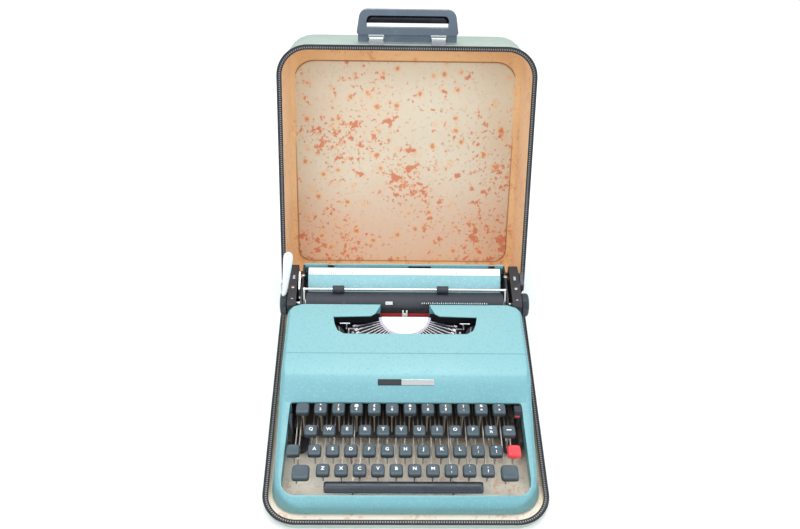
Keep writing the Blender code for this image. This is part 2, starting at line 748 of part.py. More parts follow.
def row_key(row, place, tail=()):
    return key(key_x(row, place), ROW_Y[row], ROW_TOP[row], ROW_LEVER_Z[row], tail=tail)


def back_tail(reach):
    """A lever's tail that runs straight back from the fulcrum."""
    cy, cz = FULCRUM
    return [(cy + 4.6, cz - 1.6), (cy + reach, cz - 1.6), (cy + reach, cz + 1.6)]


def down_tail(drop):
    """A lever's tail that turns down behind the fulcrum."""
    cy, cz = FULCRUM
    return [(cy + 4.6, cz - drop), (cy + 7.2, cz - drop), (cy + 7.2, cz - drop + 4.4)]


def tie_bar(x0, x1, back, drop):
    """The bar that joins the tails of the keys in one bank."""
    y = FULCRUM[0] + back
    z = FULCRUM[1] - drop
    return box(x0, x1, y, y + 2.0, z, z + 3.0)


def pivoted(obj, name, look, parent):
    return finish(obj, name, look, parent, (0.0, *FULCRUM))


def letter_keys(parent):
    for row, letters in ROW_LETTERS.items():
        for place, letter in enumerate(letters):
            pivoted(row_key(row, place), "key_" + letter, key_plastic(), parent)


def figure_keys(parent):
    """The figure row's keys, tied behind the fulcrum."""
    keys = [row_key(1, place, back_tail(12.0)) for place in range(1, 12)]
    tie = tie_bar(key_x(1, 1), key_x(1, 11), 9.8, 1.5)
    return pivoted(fuse(keys[0], *keys[1:], tie), "figure_keys", key_plastic(), parent)


def symbol_keys(parent):
    """The fraction and punctuation keys at the right of the lower rows, tied below the figures."""
    drop = 11.0
    places = [(2, 10), (3, 9), (3, 10), (4, 7), (4, 8), (4, 9)]
    keys = [row_key(row, place, down_tail(drop)) for row, place in places]
    tie = tie_bar(key_x(4, 7), key_x(3, 10), 5.0, drop - 0.3)
    return pivoted(fuse(keys[0], *keys[1:], tie), "symbol_keys", key_plastic(), parent)


def shift_keys(parent):
    """Both shift keys on one rocking shaft."""
    drop = 18.0
    size = (18.2, 17.4)
    left = key(-109.4, 34.4, 41.0, ROW_LEVER_Z[4], -114.6, down_tail(drop), size)
    right = key(107.0, 34.8, 41.0, ROW_LEVER_Z[4], 104.0, down_tail(drop), size)
    tie = tie_bar(-114.6, 104.0, 5.0, drop - 0.3)
    return pivoted(fuse(left, right, tie), "shift_keys", key_plastic(), parent)


def space_bar(parent):
    """A long bar on two arms that run back under the keys to the fulcrum."""
    top = 31.5
    section = [(18.8, 23.5), (29.4, 24.5), (29.8, 29.5), (28.3, top), (24.5, top)]
    section += [(20.0, 28.5), (18.8, 26.0)]
    body = rail(section, -85.5, 79.5)
    arms = []
    for x in (-55.8, 49.1):
        profile = lever_profile(24.3, 14.0, 26.0)
        arms.append(rail(profile, x - LEVER_THICK / 2, x + LEVER_THICK / 2))
    return pivoted(fuse(body, *arms), "space_bar", black_plastic(), parent)


def special_keys(parent):
    lock = key(-118.5, 56.5, 48.5, ROW_LEVER_Z[3], -119.6)
    pivoted(lock, "shift_lock_key", key_plastic(), parent)
    pivoted(row_key(3, 11), "tabulator_key", red_plastic(), parent)
    pivoted(row_key(1, 0), "margin_release_key", key_plastic(), parent)
    pivoted(row_key(2, 11), "backspace_key", key_plastic(), parent)


def ribbon_selector(parent):
    """The colour lever at the right of the keyboard: a paddle on a thin stem."""
    paddle = box(115.6, 123.2, 93.0, 101.0, 54.0, 66.0)
    stem = box(120.4, 122.4, 94.5, 99.5, 38.0, 56.0)
    selector = fuse(paddle, stem)
    return finish(selector, "ribbon_selector", black_plastic(), parent, (121.4, 97.0, 40.0))


def tab_lever(parent):
    """The small tab-setting lever at the left of the keyboard."""
    head = rail([(82.0, 50.0), (90.0, 48.0), (93.0, 61.0), (87.0, 62.0)], -123.6, -121.4)
    stem = rail([(84.0, 36.0), (90.0, 36.0), (91.0, 52.0), (84.0, 52.0)], -123.4, -121.8)
    return finish(fuse(head, stem), "tab_lever", black_plastic(), parent, (-122.6, 87.0, 38.0))


# ---------------------------------------------------------------- assembly


def main():
    for obj in list(bpy.data.objects):
        bpy.data.objects.remove(obj)

    case = group("carrying_case")
    case_tray(case)
    lid = case_lid(case)
    carry_handle(lid)

    machine = group("machine")
    frame(machine)
    body_shell(machine)
    ribbon_cover(machine)
    rear_cover(machine)
    lever_comb(machine)
    type_basket(machine)
    ribbon_guide(machine)
    ribbon_spool(machine, -1, "ribbon_spool_left")
    ribbon_spool(machine, 1, "ribbon_spool_right")

    carriage = group("carriage")
    carriage_frame(carriage)
    platen(carriage)
    platen_knob(carriage, -1, "platen_knob_left")
    platen_knob(carriage, 1, "platen_knob_right")
    paper_table(carriage)
    paper_bail(carriage)
    margin_stop(carriage, -90.0, "margin_stop_left")
    margin_stop(carriage, 107.0, "margin_stop_right")
    line_space_arm(carriage)
    return_lever(carriage)
    paper_release_lever(carriage)
    carriage_release_lever(carriage)

    keyboard = group("keyboard")
    letter_keys(keyboard)
    figure_keys(keyboard)
    symbol_keys(keyboard)
    special_keys(keyboard)
    shift_keys(keyboard)
    space_bar(keyboard)
    ribbon_selector(keyboard)
    tab_lever(keyboard)


main()
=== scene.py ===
"""Looks for the portable typewriter in its open case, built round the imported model.

Positions are given in millimetres: X to the typist's right, Y as a station counted from just in
front of the machine, Z up. at() turns one into a point of the model's own frame.
"""

import math

import bmesh
import bpy
from mathutils import Matrix, Quaternion, Vector


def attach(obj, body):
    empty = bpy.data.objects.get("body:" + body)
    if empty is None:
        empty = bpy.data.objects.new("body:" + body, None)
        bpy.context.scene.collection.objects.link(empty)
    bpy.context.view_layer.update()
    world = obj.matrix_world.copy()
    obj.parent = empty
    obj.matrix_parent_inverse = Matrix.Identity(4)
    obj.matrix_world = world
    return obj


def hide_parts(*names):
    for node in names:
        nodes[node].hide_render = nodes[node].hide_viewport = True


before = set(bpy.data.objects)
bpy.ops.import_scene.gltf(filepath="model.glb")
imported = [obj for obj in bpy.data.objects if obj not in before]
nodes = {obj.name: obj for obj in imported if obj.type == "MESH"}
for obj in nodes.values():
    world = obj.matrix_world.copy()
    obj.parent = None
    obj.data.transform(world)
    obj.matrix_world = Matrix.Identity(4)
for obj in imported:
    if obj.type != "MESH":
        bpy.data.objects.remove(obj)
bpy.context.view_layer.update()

MM = 0.001
STATION_SHIFT = -154.0
HINGE = (0.0, 315.0, 22.25)
OPEN_ANGLE = math.radians(-106.0)
EDGE_ANGLE = math.radians(32.0)
SIDES = ((-1, "left"), (1, "right"))


# ---------------- geometry helpers


def at(x, y, z):
    """A point of the model's own frame, in metres, from millimetres and a station."""
    return Vector((x, y + STATION_SHIFT, z)) * MM


def lid_point(x, y, z):
    """A point laid out on the shut lid, carried round to the open lid."""
    pivot = at(*HINGE)
    return pivot + Matrix.Rotation(OPEN_ANGLE, 3, "X") @ (at(x, y, z) - pivot)


def new_object(name, mesh, looks, body):
    """An object with its looks, riding on a body of the model."""
    obj = bpy.data.objects.new(name, mesh)
    bpy.context.scene.collection.objects.link(obj)
    for look in looks if isinstance(looks, list) else [looks]:
        mesh.materials.append(look)
    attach(obj, body)
    return obj


def mesh_of(points, faces, indexes, place, angle):
    """A smooth mesh whose normals face out; edges sharper than angle degrees stay crisp."""
    mesh = bpy.data.meshes.new("piece")
    mesh.from_pydata([place(*p) for p in points], [], faces)
    mesh.polygons.foreach_set("material_index", indexes)
    shape = bmesh.new()
    shape.from_mesh(mesh)
    bmesh.ops.recalc_face_normals(shape, faces=shape.faces)
    shape.to_mesh(mesh)
    shape.free()
    mesh.shade_smooth()
    if angle < 180:
        mesh.set_sharp_from_angle(angle=math.radians(angle))
    return mesh


def turn(sides):
    """The angles of a circle's corners."""
    return [math.tau * i / sides for i in range(sides)]


class Build:
    """Gathers points and faces of one piece before its mesh is made."""

    def __init__(self):
        self.points = []
        self.faces = []
        self.indexes = []

    def add(self, points, faces, index):
        base = len(self.points)
        self.points += [tuple(p) for p in points]
        self.faces += [tuple(base + i for i in face) for face in faces]
        self.indexes += [index] * len(faces)

    def loft(self, loops, index=0, caps=(True, True)):
        """A skin over closed loops of equal length, with its ends capped or open."""
        count = len(loops[0])
        points = [p for loop in loops for p in loop]
        faces = []
        if caps[0]:
            faces.append(tuple(range(count)))
        if caps[1]:
            faces.append(tuple(range(len(points) - count, len(points))))
        for row in range(len(loops) - 1):
            for i in range(count):
                j = (i + 1) % count
                b = row * count
                faces.append((b + i, b + j, b + count + j, b + count + i))
        self.add(points, faces, index)

    def box(self, x0, x1, y0, y1, z0, z1, index=0):
        ring = [(x0, y0), (x1, y0), (x1, y1), (x0, y1)]
        self.loft([[(x, y, z) for x, y in ring] for z in (z0, z1)], index)

    def rail(self, profile, x0, x1, index=0):
        """A (y, z) outline drawn out along X."""
        self.loft([[(x, y, z) for y, z in profile] for x in (x0, x1)], index)

    def bar(self, y, z, profile, sides, index=0):
        """A shape turned about an axis along X from (x, radius) pairs."""
        loops = []
        for x, r in profile:
            loops.append([(x, y + r * math.cos(a), z + r * math.sin(a)) for a in turn(sides)])
        self.loft(loops, index)

    def post(self, x, y, profile, sides, index=0):
        """A shape turned about an upright axis from (radius, z) pairs."""
        loops = []
        for r, z in profile:
            loops.append([(x + r * math.cos(a), y + r * math.sin(a), z) for a in turn(sides)])
        self.loft(loops, index)

    def tube(self, path, radius, closed=False):
        """A round wire along a path of points."""
        points = [Vector(p) for p in path]
        count = len(points)
        loops = []
        for i, p in enumerate(points):
            ahead = points[(i + 1) % count] if closed or i + 1 < count else p
            behind = points[i - 1] if closed or i > 0 else p
            along = (ahead - behind).normalized()
            side = along.cross(Vector((0.02, 0.05, 1.0))).normalized()
            up = side.cross(along)
            loops.append([p + radius * (side * math.cos(a) + up * math.sin(a)) for a in turn(8)])
        if closed:
            loops.append(loops[0])
        self.loft(loops, caps=(not closed, not closed))

    def piece(self, name, looks, body, slot=None, place=at, angle=35.0, bevel=0.0):
        """Makes the object, its edges softened when a bevel width is given."""
        mesh = mesh_of(self.points, self.faces, self.indexes, place, angle)
        obj = new_object(name, mesh, looks, body)
        if bevel:
            add_bevel(obj, bevel)
        return obj


def add_bevel(obj, width, segments=2):
    bevel = obj.modifiers.new("edge", "BEVEL")
    bevel.width = width * MM
    bevel.segments = segments
    bevel.limit_method = "ANGLE"
    bevel.angle_limit = EDGE_ANGLE
    bevel.harden_normals = True
    bevel.use_clamp_overlap = True


def refined(node, name, look, width, body, segments=3):
    """A copy of a CAD node with its flat facets joined and its edges softened."""
    mesh = nodes[node].data.copy()
    mesh.materials.clear()
    shape = bmesh.new()
    shape.from_mesh(mesh)
    bmesh.ops.remove_doubles(shape, verts=shape.verts, dist=2e-6)
    bmesh.ops.dissolve_limit(
        shape, angle_limit=math.radians(0.6), verts=shape.verts, edges=shape.edges
    )
    shape.to_mesh(mesh)
    shape.free()
    obj = new_object(name, mesh, look, body)
    normals = mesh.attributes.get("custom_normal")
    if normals:
        mesh.attributes.remove(normals)
    mesh.shade_smooth()
    mesh.set_sharp_from_angle(angle=EDGE_ANGLE)
    add_bevel(obj, width, segments)
    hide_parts(node)


def arc(cx, cy, radius, start, end, steps):
    """Points along an arc, its start and end given in degrees."""
    found = []
    for i in range(steps + 1):
        angle = math.radians(start + (end - start) * i / steps)
        found.append((cx + radius * math.cos(angle), cy + radius * math.sin(angle)))
    return found


def rounded(corners, radii, steps=6):
    """A closed outline with each corner rounded by its own radius."""
    outline = []
    count = len(corners)
    for i, radius in enumerate(radii):
        here = Vector(corners[i])
        before = (Vector(corners[i - 1]) - here).normalized()
        after = (Vector(corners[(i + 1) % count]) - here).normalized()
        half = before.angle(after) / 2
        centre = here + (before + after).normalized() * (radius / math.sin(half))
        first = here + before * (radius / math.tan(half)) - centre
        last = here + after * (radius / math.tan(half)) - centre
        sweep = first.angle_signed(last)
        for k in range(steps + 1):
            spoke = first.copy()
            spoke.rotate(Matrix.Rotation(-sweep * k / steps, 2))
            outline.append(tuple(centre + spoke))
    return outline


CASE_FRONT, CASE_REAR = -7.0, 315.0


def case_outline(inset, steps):
    """The case seen from above, drawn in from its outer wall by inset."""
    half_front = 146.0 - inset
    half_rear = 153.5 - inset
    front = CASE_FRONT + inset
    rear = CASE_REAR - inset
    corners = [(-half_front, front), (half_front, front), (half_rear, rear), (-half_rear, rear)]
    round_front = max(34.0 - inset, 3.0)
    round_rear = max(20.0 - inset, 3.0)
    return rounded(corners, [round_front, round_front, round_rear, round_rear], steps)


def rim_height(y):
    """The height at which tray and lid meet, rising towards the spine."""
    return 12.0 + 10.0 * (y - CASE_FRONT) / (CASE_REAR - CASE_FRONT)


def case_ring(inset, z, steps=12):
    """The case's outline at one height."""
    return [(x, y, z) for x, y in case_outline(inset, steps)]


def rim_ring(inset, rise, steps=12):
    """The case's outline following its rim."""
    return [(x, y, rim_height(y) + rise) for x, y in case_outline(inset, steps)]


def spaced(outline, pitch, phase):
    """Points and directions at equal steps along a closed outline."""
    ring = [Vector(p) for p in outline]
    lengths = [(ring[(i + 1) % len(ring)] - p).length for i, p in enumerate(ring)]
    total = sum(lengths)
    count = int(total / pitch)
    found = []
    for k in range(count):
        target = (k + phase) * total / count
        i = 0
        while target > lengths[i] and i < len(ring) - 1:
            target -= lengths[i]
            i += 1
        along = (ring[(i + 1) % len(ring)] - ring[i]).normalized()
        found.append((ring[i] + along * target, along))
    return found


# ---------------- materials


class Look:
    """A small builder for a Principled material's node tree."""

    def __init__(self, name, colour, roughness, metallic=0.0, **extra):
        self.material = bpy.data.materials.new(name)
        self.material.use_nodes = True
        self.tree = self.material.node_tree
        self.shader = self.tree.nodes["Principled BSDF"]
        self.set("Base Color", (*colour, 1.0))
        self.set("Roughness", roughness)
        self.set("Metallic", metallic)
        for key, value in extra.items():
            self.set(key.replace("_", " "), value)
        self.material.diffuse_color = (*colour, 1.0)
        self.colour = None
        self.height = None
        self.coords = self.tree.nodes.new("ShaderNodeTexCoord").outputs["Object"]

    def set(self, socket, value):
        self.shader.inputs[socket].default_value = value

    def link(self, a, b):
        self.tree.links.new(a, b)

    def math(self, operation, a, b):
        node = self.tree.nodes.new("ShaderNodeMath")
        node.operation = operation
        self.link(a, node.inputs[0])
        if isinstance(b, float):
            node.inputs[1].default_value = b
        else:
            self.link(b, node.inputs[1])
        return node.outputs[0]

    def scaled(self, factor):
        node = self.tree.nodes.new("ShaderNodeMapping")
        node.inputs["Scale"].default_value = factor
        self.link(self.coords, node.inputs["Vector"])
        return node.outputs["Vector"]

    def noise(self, scale, detail, rough=0.55, stretch=None):
        node = self.tree.nodes.new("ShaderNodeTexNoise")
        node.inputs["Scale"].default_value = scale
        node.inputs["Detail"].default_value = detail
        node.inputs["Roughness"].default_value = rough
        self.link(self.scaled(stretch) if stretch else self.coords, node.inputs["Vector"])
        return node.outputs["Fac"]

    def cells(self, scale, feature="F1"):
        node = self.tree.nodes.new("ShaderNodeTexVoronoi")
        node.feature = feature
        node.inputs["Scale"].default_value = scale
        self.link(self.coords, node.inputs["Vector"])
        return node.outputs["Distance"]

    def step(self, value, low, high, out_low, out_high):
        node = self.tree.nodes.new("ShaderNodeMapRange")
        node.interpolation_type = "SMOOTHSTEP"
        node.inputs["From Min"].default_value = low
        node.inputs["From Max"].default_value = high
        node.inputs["To Min"].default_value = out_low
        node.inputs["To Max"].default_value = out_high
        self.link(value, node.inputs["Value"])
        return node.outputs["Result"]

    def tint(self, amount, colour):
        """Mixes another colour over the present one by amount."""
        node = self.tree.nodes.new("ShaderNodeMix")
        node.data_type = "RGBA"
        sockets = [s for s in node.inputs if s.type == "RGBA"]
        factor = [s for s in node.inputs if s.type == "VALUE"][0]
        result = [s for s in node.outputs if s.type == "RGBA"][0]
        if self.colour is None:
            sockets[0].default_value = self.shader.inputs["Base Color"].default_value
        else:
            self.link(self.colour, sockets[0])
        sockets[1].default_value = (*colour, 1.0)
        self.link(amount, factor)
        self.colour = result
        self.link(result, self.shader.inputs["Base Color"])

    def mottle(self, scale, detail, low, high, amount, colour, rough=0.55):
        """Tints by up to amount where a noise rises from low to high."""
        self.tint(self.step(self.noise(scale, detail, rough), low, high, 0.0, amount), colour)

    def rough(self, value, low, high, out_low, out_high):
        self.link(self.step(value, low, high, out_low, out_high), self.shader.inputs["Roughness"])

    def bump(self, height, strength, distance):
        """Adds fine relief, its distance given in millimetres."""
        node = self.tree.nodes.new("ShaderNodeBump")
        node.inputs["Strength"].default_value = strength
        node.inputs["Distance"].default_value = distance * MM
        self.link(height, node.inputs["Height"])
        if self.height is not None:
            self.link(self.height, node.inputs["Normal"])
        self.height = node.outputs["Normal"]
        self.link(self.height, self.shader.inputs["Normal"])

    def upright_part(self, vector):
        node = self.tree.nodes.new("ShaderNodeSeparateXYZ")
        self.link(vector, node.inputs[0])
        return node.outputs[2]

    def facing_up(self):
        """How far the piece's own surface faces up, from -1 to 1."""
        return self.upright_part(self.coords.node.outputs["Normal"])

    def height_above_floor(self):
        return self.upright_part(self.coords)


def shade(colour, factor, lift=0.0, top=2.0):
    """A colour made darker or lighter, with no channel above top."""
    return tuple(min(c * factor + lift, top) for c in colour)


def enamel(name, colour, dark, light, lit_top):
    """Baked enamel with a fine leathery texture, mottled, and made paler where it faces up, as painted
    light from above.
    """
    look = Look(name, colour, 0.42)
    look.mottle(9, 4, 0.42, 0.72, 0.35, dark)
    look.mottle(26, 5, 0.5, 0.75, 0.28, light, rough=0.6)
    specks = look.step(look.noise(420, 2), 0.74, 0.8, 0.0, 0.35)
    look.tint(specks, shade(dark, 0.45))
    # Painted light: faces turned upwards are tinted paler, standing for the overhead light they catch.
    look.tint(look.step(look.facing_up(), 0.85, 0.93, 0.0, 0.9), lit_top)
    look.mottle(430, 3, 0.52, 0.66, 0.3, shade(light, 1.3), rough=0.6)
    look.mottle(380, 3, 0.47, 0.34, 0.3, dark, rough=0.6)
    look.rough(look.noise(40, 3), 0.3, 0.75, 0.36, 0.52)
    look.bump(look.noise(620, 3, 0.6), 0.8, 0.16)
    look.bump(look.noise(60, 2), 0.12, 0.25)
    return look.material


def make_teal():
    dark, light = (0.115, 0.30, 0.345), (0.18, 0.41, 0.46)
    return enamel("teal_enamel", (0.142, 0.35, 0.40), dark, light, (0.235, 0.475, 0.51))


def make_teal_rest():
    """The casing's teal enamel made paler for the paper table, as painted light for the light its
    upturned face catches.
    """
    dark, light = (0.19, 0.43, 0.48), (0.32, 0.58, 0.62)
    return enamel("teal_rest_lit", (0.245, 0.49, 0.545), dark, light, (0.27, 0.52, 0.57))


def make_vinyl():
    look = Look("case_vinyl_grain", (0.40, 0.49, 0.44), 0.55)
    look.mottle(7, 4, 0.4, 0.7, 0.5, (0.30, 0.38, 0.33))
    look.mottle(90, 3, 0.58, 0.8, 0.4, (0.52, 0.6, 0.5))
    look.mottle(30, 6, 0.66, 0.74, 0.5, (0.25, 0.2, 0.13), rough=0.7)
    look.rough(look.noise(50, 3), 0.3, 0.7, 0.45, 0.68)
    look.bump(look.cells(620, "DISTANCE_TO_EDGE"), 0.5, 0.12)
    look.bump(look.noise(900, 3), 0.3, 0.06)
    return look.material


def make_lining(name, base, stain, spots, low_glow=0.0):
    """Felted cloth lining: cream, with soft brown stains and clusters of rust spots."""
    look = Look(name, base, 0.9, Sheen_Weight=0.2)
    look.mottle(11, 4, 0.42, 0.68, 0.45, stain)
    look.mottle(230, 3, 0.48, 0.7, 0.3, shade(base, 0.8))
    if low_glow:
        look.tint(look.step(look.height_above_floor(), 0.17, 0.05, 0.0, low_glow), (0.76, 0.36, 0.22))
    if spots:
        # A broad pattern decides where the ragged spots gather.
        broad = look.math("MULTIPLY", look.noise(12.0, 2), 0.34)
        near = look.math("ADD", look.noise(85, 4, 0.62), broad)
        look.tint(look.step(near, 0.72, 0.81, 0.0, 0.55 * spots), (0.84, 0.46, 0.26))
        look.tint(look.step(near, 0.775, 0.82, 0.0, 0.9 * spots), (0.62, 0.18, 0.095))
        rings = look.math("ADD", look.cells(44), look.math("MULTIPLY", look.noise(300, 3), 0.16))
        look.tint(look.step(rings, 0.40, 0.2, 0.0, 0.5 * spots), (0.86, 0.50, 0.22))
        look.tint(look.step(rings, 0.24, 0.16, 0.0, 0.8 * spots), (0.60, 0.20, 0.09))
        fine = look.math("ADD", look.noise(230, 3, 0.6), broad)
        look.tint(look.step(fine, 0.775, 0.835, 0.0, 0.85 * spots), (0.66, 0.22, 0.11))
    look.mottle(1400, 2, 0.5, 0.8, 0.18, (0.55, 0.47, 0.36))
    look.bump(look.noise(1600, 3, 0.6), 0.5, 0.12)
    look.bump(look.noise(26, 3), 0.35, 0.9)
    return look.material


def make_metal(name, colour, roughness, grain=(1.0, 40.0, 40.0), rust=0.0):
    look = Look(name, colour, roughness, 1.0)
    brushed = look.noise(60, 3, 0.6, stretch=grain)
    look.tint(look.step(brushed, 0.35, 0.75, 0.0, 0.35), shade(colour, 0.6))
    if rust:
        look.mottle(70, 5, 0.56, 0.72, rust, (0.32, 0.17, 0.09), rough=0.65)
    look.rough(brushed, 0.3, 0.8, roughness * 0.75, roughness * 1.5)
    look.bump(brushed, 0.15, 0.03)
    return look.material


def make_plastic(name, colour, roughness, lift=1.35, skirt=0.0):
    look = Look(name, colour, roughness)
    look.mottle(35, 4, 0.45, 0.75, 0.5, shade(colour, lift, 0.0, 1.0))
    look.mottle(500, 3, 0.62, 0.8, 0.3, shade(colour, 1.8, 0.02, 1.0))
    if skirt:
        # Painted shade: faces turning away from upright are darkened, standing for the shade on the
        # keys' sides.
        look.tint(look.step(look.facing_up(), 0.62, 0.2, 0.0, skirt), shade(colour, 0.35))
    look.rough(look.noise(80, 4), 0.3, 0.75, roughness * 0.8, roughness * 1.45)
    look.bump(look.noise(1800, 2), 0.12, 0.03)
    return look.material


def make_rubber():
    look = Look("platen_rubber", (0.026, 0.031, 0.042), 0.62)
    rings = look.noise(30, 3, 0.6, stretch=(60.0, 1.0, 1.0))
    look.tint(look.step(rings, 0.45, 0.75, 0.0, 0.5), (0.05, 0.055, 0.068))
    look.mottle(120, 4, 0.6, 0.8, 0.35, (0.14, 0.14, 0.15))
    look.rough(rings, 0.3, 0.7, 0.5, 0.72)
    look.bump(look.noise(900, 3), 0.2, 0.04)
    return look.material


def make_woven(name, colour):
    look = Look(name, colour, 0.8)
    look.mottle(1100, 2, 0.5, 0.75, 0.5, shade(colour, 2.2, 0.015))
    look.mottle(25, 3, 0.5, 0.8, 0.3, (0.16, 0.14, 0.12))
    look.bump(look.noise(1300, 2), 0.6, 0.15)
    return look.material


def make_enamel_black():
    look = Look("black_enamel", (0.022, 0.022, 0.027), 0.4)
    look.mottle(45, 5, 0.55, 0.78, 0.35, (0.11, 0.1, 0.095), rough=0.6)
    look.rough(look.noise(60, 3), 0.3, 0.7, 0.32, 0.58)
    look.bump(look.noise(1300, 2), 0.2, 0.04)
    return look.material


def make_plate():
    look = Look("mechanism_plate", (0.13, 0.10, 0.09), 0.6, 0.2)
    look.mottle(40, 5, 0.45, 0.7, 0.6, (0.21, 0.16, 0.125), rough=0.65)
    look.bump(look.noise(500, 3), 0.3, 0.08)
    return look.material


def make_ink(name, colour, roughness=0.6):
    look = Look(name, colour, roughness)
    look.mottle(260, 3, 0.5, 0.8, 0.25, shade(colour, 0.7))
    look.bump(look.noise(900, 2), 0.1, 0.03)
    return look.material


teal = make_teal()
teal_rest_lit = make_teal_rest()
vinyl = make_vinyl()
lining = make_lining("lid_lining", (0.74, 0.69, 0.57), (0.72, 0.58, 0.43), 0.9, 0.38)
lining_wall = make_lining("wall_lining", (0.88, 0.58, 0.31), (0.74, 0.42, 0.19), 0.45)
# Painted light: the tray's cloth has a paler base than the lid's, standing for light that barely
# reaches its floor under the keys.
lining_tray_lightened = make_lining("tray_lining", (0.97, 0.90, 0.78), (0.92, 0.78, 0.60), 0.3)
# A darker copy of the wall lining, painted shade for the crease where the lid's wall meets its board.
lining_seam_shaded = make_lining("seam_lining_shade", (0.42, 0.25, 0.13), (0.32, 0.17, 0.08), 0.0)
zip_tape = make_woven("zip_tape", (0.018, 0.018, 0.022))
zip_teeth = make_metal("zip_teeth", (0.32, 0.32, 0.33), 0.38)
chrome = make_metal("bright_plate", (0.84, 0.85, 0.86), 0.14, (1.0, 1.0, 30.0))
steel = make_metal("plated_steel", (0.62, 0.60, 0.56), 0.3, rust=0.25)
lever_steel = make_metal("lever_steel", (0.50, 0.47, 0.42), 0.38, (30.0, 1.0, 1.0), rust=0.55)
black = make_enamel_black()
plate_look = make_plate()
rubber = make_rubber()
# The keys' sides are darkened as painted shade.
key_look = make_plastic("key_plastic_grey", (0.060, 0.088, 0.108), 0.36, skirt=0.9)
red_look = make_plastic("key_plastic_red", (0.83, 0.055, 0.07), 0.3, 1.1)
black_plastic = make_plastic("black_plastic_satin", (0.024, 0.032, 0.045), 0.3, 1.8)
handle_look = make_plastic("handle_plastic_gloss", (0.10, 0.13, 0.17), 0.2, 1.5)
# A near-black copy of the handle's plastic, used as painted shade in the grip's hollow.
handle_hollow_shade = make_plastic("handle_plastic_shade", (0.008, 0.01, 0.018), 0.2, 1.6)
grey_clip = make_metal("clip_metal", (0.42, 0.44, 0.46), 0.4)
segment_white = make_ink("segment_white", (0.86, 0.87, 0.90), 0.3)
bar_steel = make_metal("typebar_steel", (0.78, 0.79, 0.86), 0.28)
slot_lavender = make_ink("segment_slots", (0.50, 0.51, 0.66), 0.35)
lever_bright = make_ink("lever_bright", (0.84, 0.87, 0.89), 0.2)
white_ink = make_ink("white_print", (0.92, 0.94, 0.94))
black_ink = make_ink("black_print", (0.03, 0.03, 0.035))
white_scale = make_ink("white_scale", (0.86, 0.87, 0.85), 0.35)
badge_black = make_ink("badge_black", (0.008, 0.009, 0.012), 0.5)
ribbon_black = make_woven("ribbon_black", (0.02, 0.018, 0.022))
ribbon_red = make_woven("ribbon_red", (0.55, 0.03, 0.03))


# ---------------- carrying case


def case_shells():
    refined("case_tray", "tray_shell", vinyl, 0.7, "case")
    refined("case_lid", "lid_shell", vinyl, 0.7, "lid")


LINING_TOP = 105.0
OPEN_ENDS = (False, False)


def lid_lining():
    """Cloth on the lid's walls, and a covered board with rounded corners in its top."""
    work = Build()
    wall = [rim_ring(2.25, 0.9), case_ring(2.5, 60.0), case_ring(2.7, 96.0)]
    work.loft(wall, 1, caps=OPEN_ENDS)
    bend = [case_ring(2.7, 96.0), case_ring(4.6, 100.6), case_ring(7.6, 103.6)]
    work.loft(bend + [case_ring(12.5, LINING_TOP)], 1, caps=OPEN_ENDS)
    work.loft([case_ring(12.5, LINING_TOP)], 1, caps=(True, False))
    corners = [(-139.0, 26.0), (139.0, 26.0), (141.0, 298.0), (-141.0, 298.0)]
    edge = rounded(corners, [26.0, 26.0, 16.0, 16.0], 10)
    board = []
    for inset, z in ((0.0, LINING_TOP), (0.1, 104.4), (0.8, 103.9), (2.0, 103.7)):
        ring = [(x - math.copysign(inset, x), y + (inset if y < 150 else -inset), z) for x, y in edge]
        board.append(ring)
    work.loft(board, 0, caps=(False, True))
    work.piece("lid_lining", [lining, lining_wall], "lid", "case_vinyl", lid_point, 60)
    # A cord along the board's edge, coloured as a darker copy of the wall cloth: painted shade in the
    # crease there.
    seam = Build()
    seam.tube([(x * 1.004, y, 104.7) for x, y in edge], 0.8, closed=True)
    seam.piece("lid_lining_seam", lining_seam_shaded, "lid", "case_vinyl", lid_point, 60)


def tray_lining():
    work = Build()
    work.loft([rim_ring(2.45, -1.2), case_ring(2.5, 3.9)], 1, caps=OPEN_ENDS)
    floor = [case_ring(2.5, 3.9), case_ring(3.6, 2.6), case_ring(5.0, 2.2)]
    work.loft(floor, 0, caps=(False, True))
    work.piece("tray_lining", [lining_tray_lightened, lining_wall], "case", "case_vinyl", at, 60)


def zip_half(name, body, place, offset, phase, tooth):
    """One side of the zip: a woven tape round the rim and its row of metal teeth."""
    tape = Build()
    edges = ((2.9, 0.0), (-3.0, 0.0), (-3.0, 0.18), (2.9, 0.18), (2.9, 0.0))
    tape.loft([rim_ring(inset, offset + rise, 16) for inset, rise in edges], 0, caps=OPEN_ENDS)
    tape.piece(name + "_tape", zip_tape, body, "case_vinyl", place, 30)
    teeth = Build()
    for p, along in spaced(case_outline(0.4, 16), 2.6, phase):
        out = Vector((along.y, -along.x))
        rim = rim_height(p.y)
        half, deep = along * 0.6, out * 0.9
        ring = [p - half - deep, p + half - deep, p + half + deep, p - half + deep]
        teeth.loft([[(q.x, q.y, rim + h) for q in ring] for h in tooth])
    teeth.piece(name + "_teeth", zip_teeth, body, None, place, 30)


def piping(name, body, place, inset, height):
    """A bead of vinyl sewn along a seam of the case."""
    work = Build()
    work.tube(case_ring(inset, height, 10), 1.3, closed=True)
    work.piece(name, vinyl, body, "case_vinyl", place, 60)


HANDLE_Z = 40.5


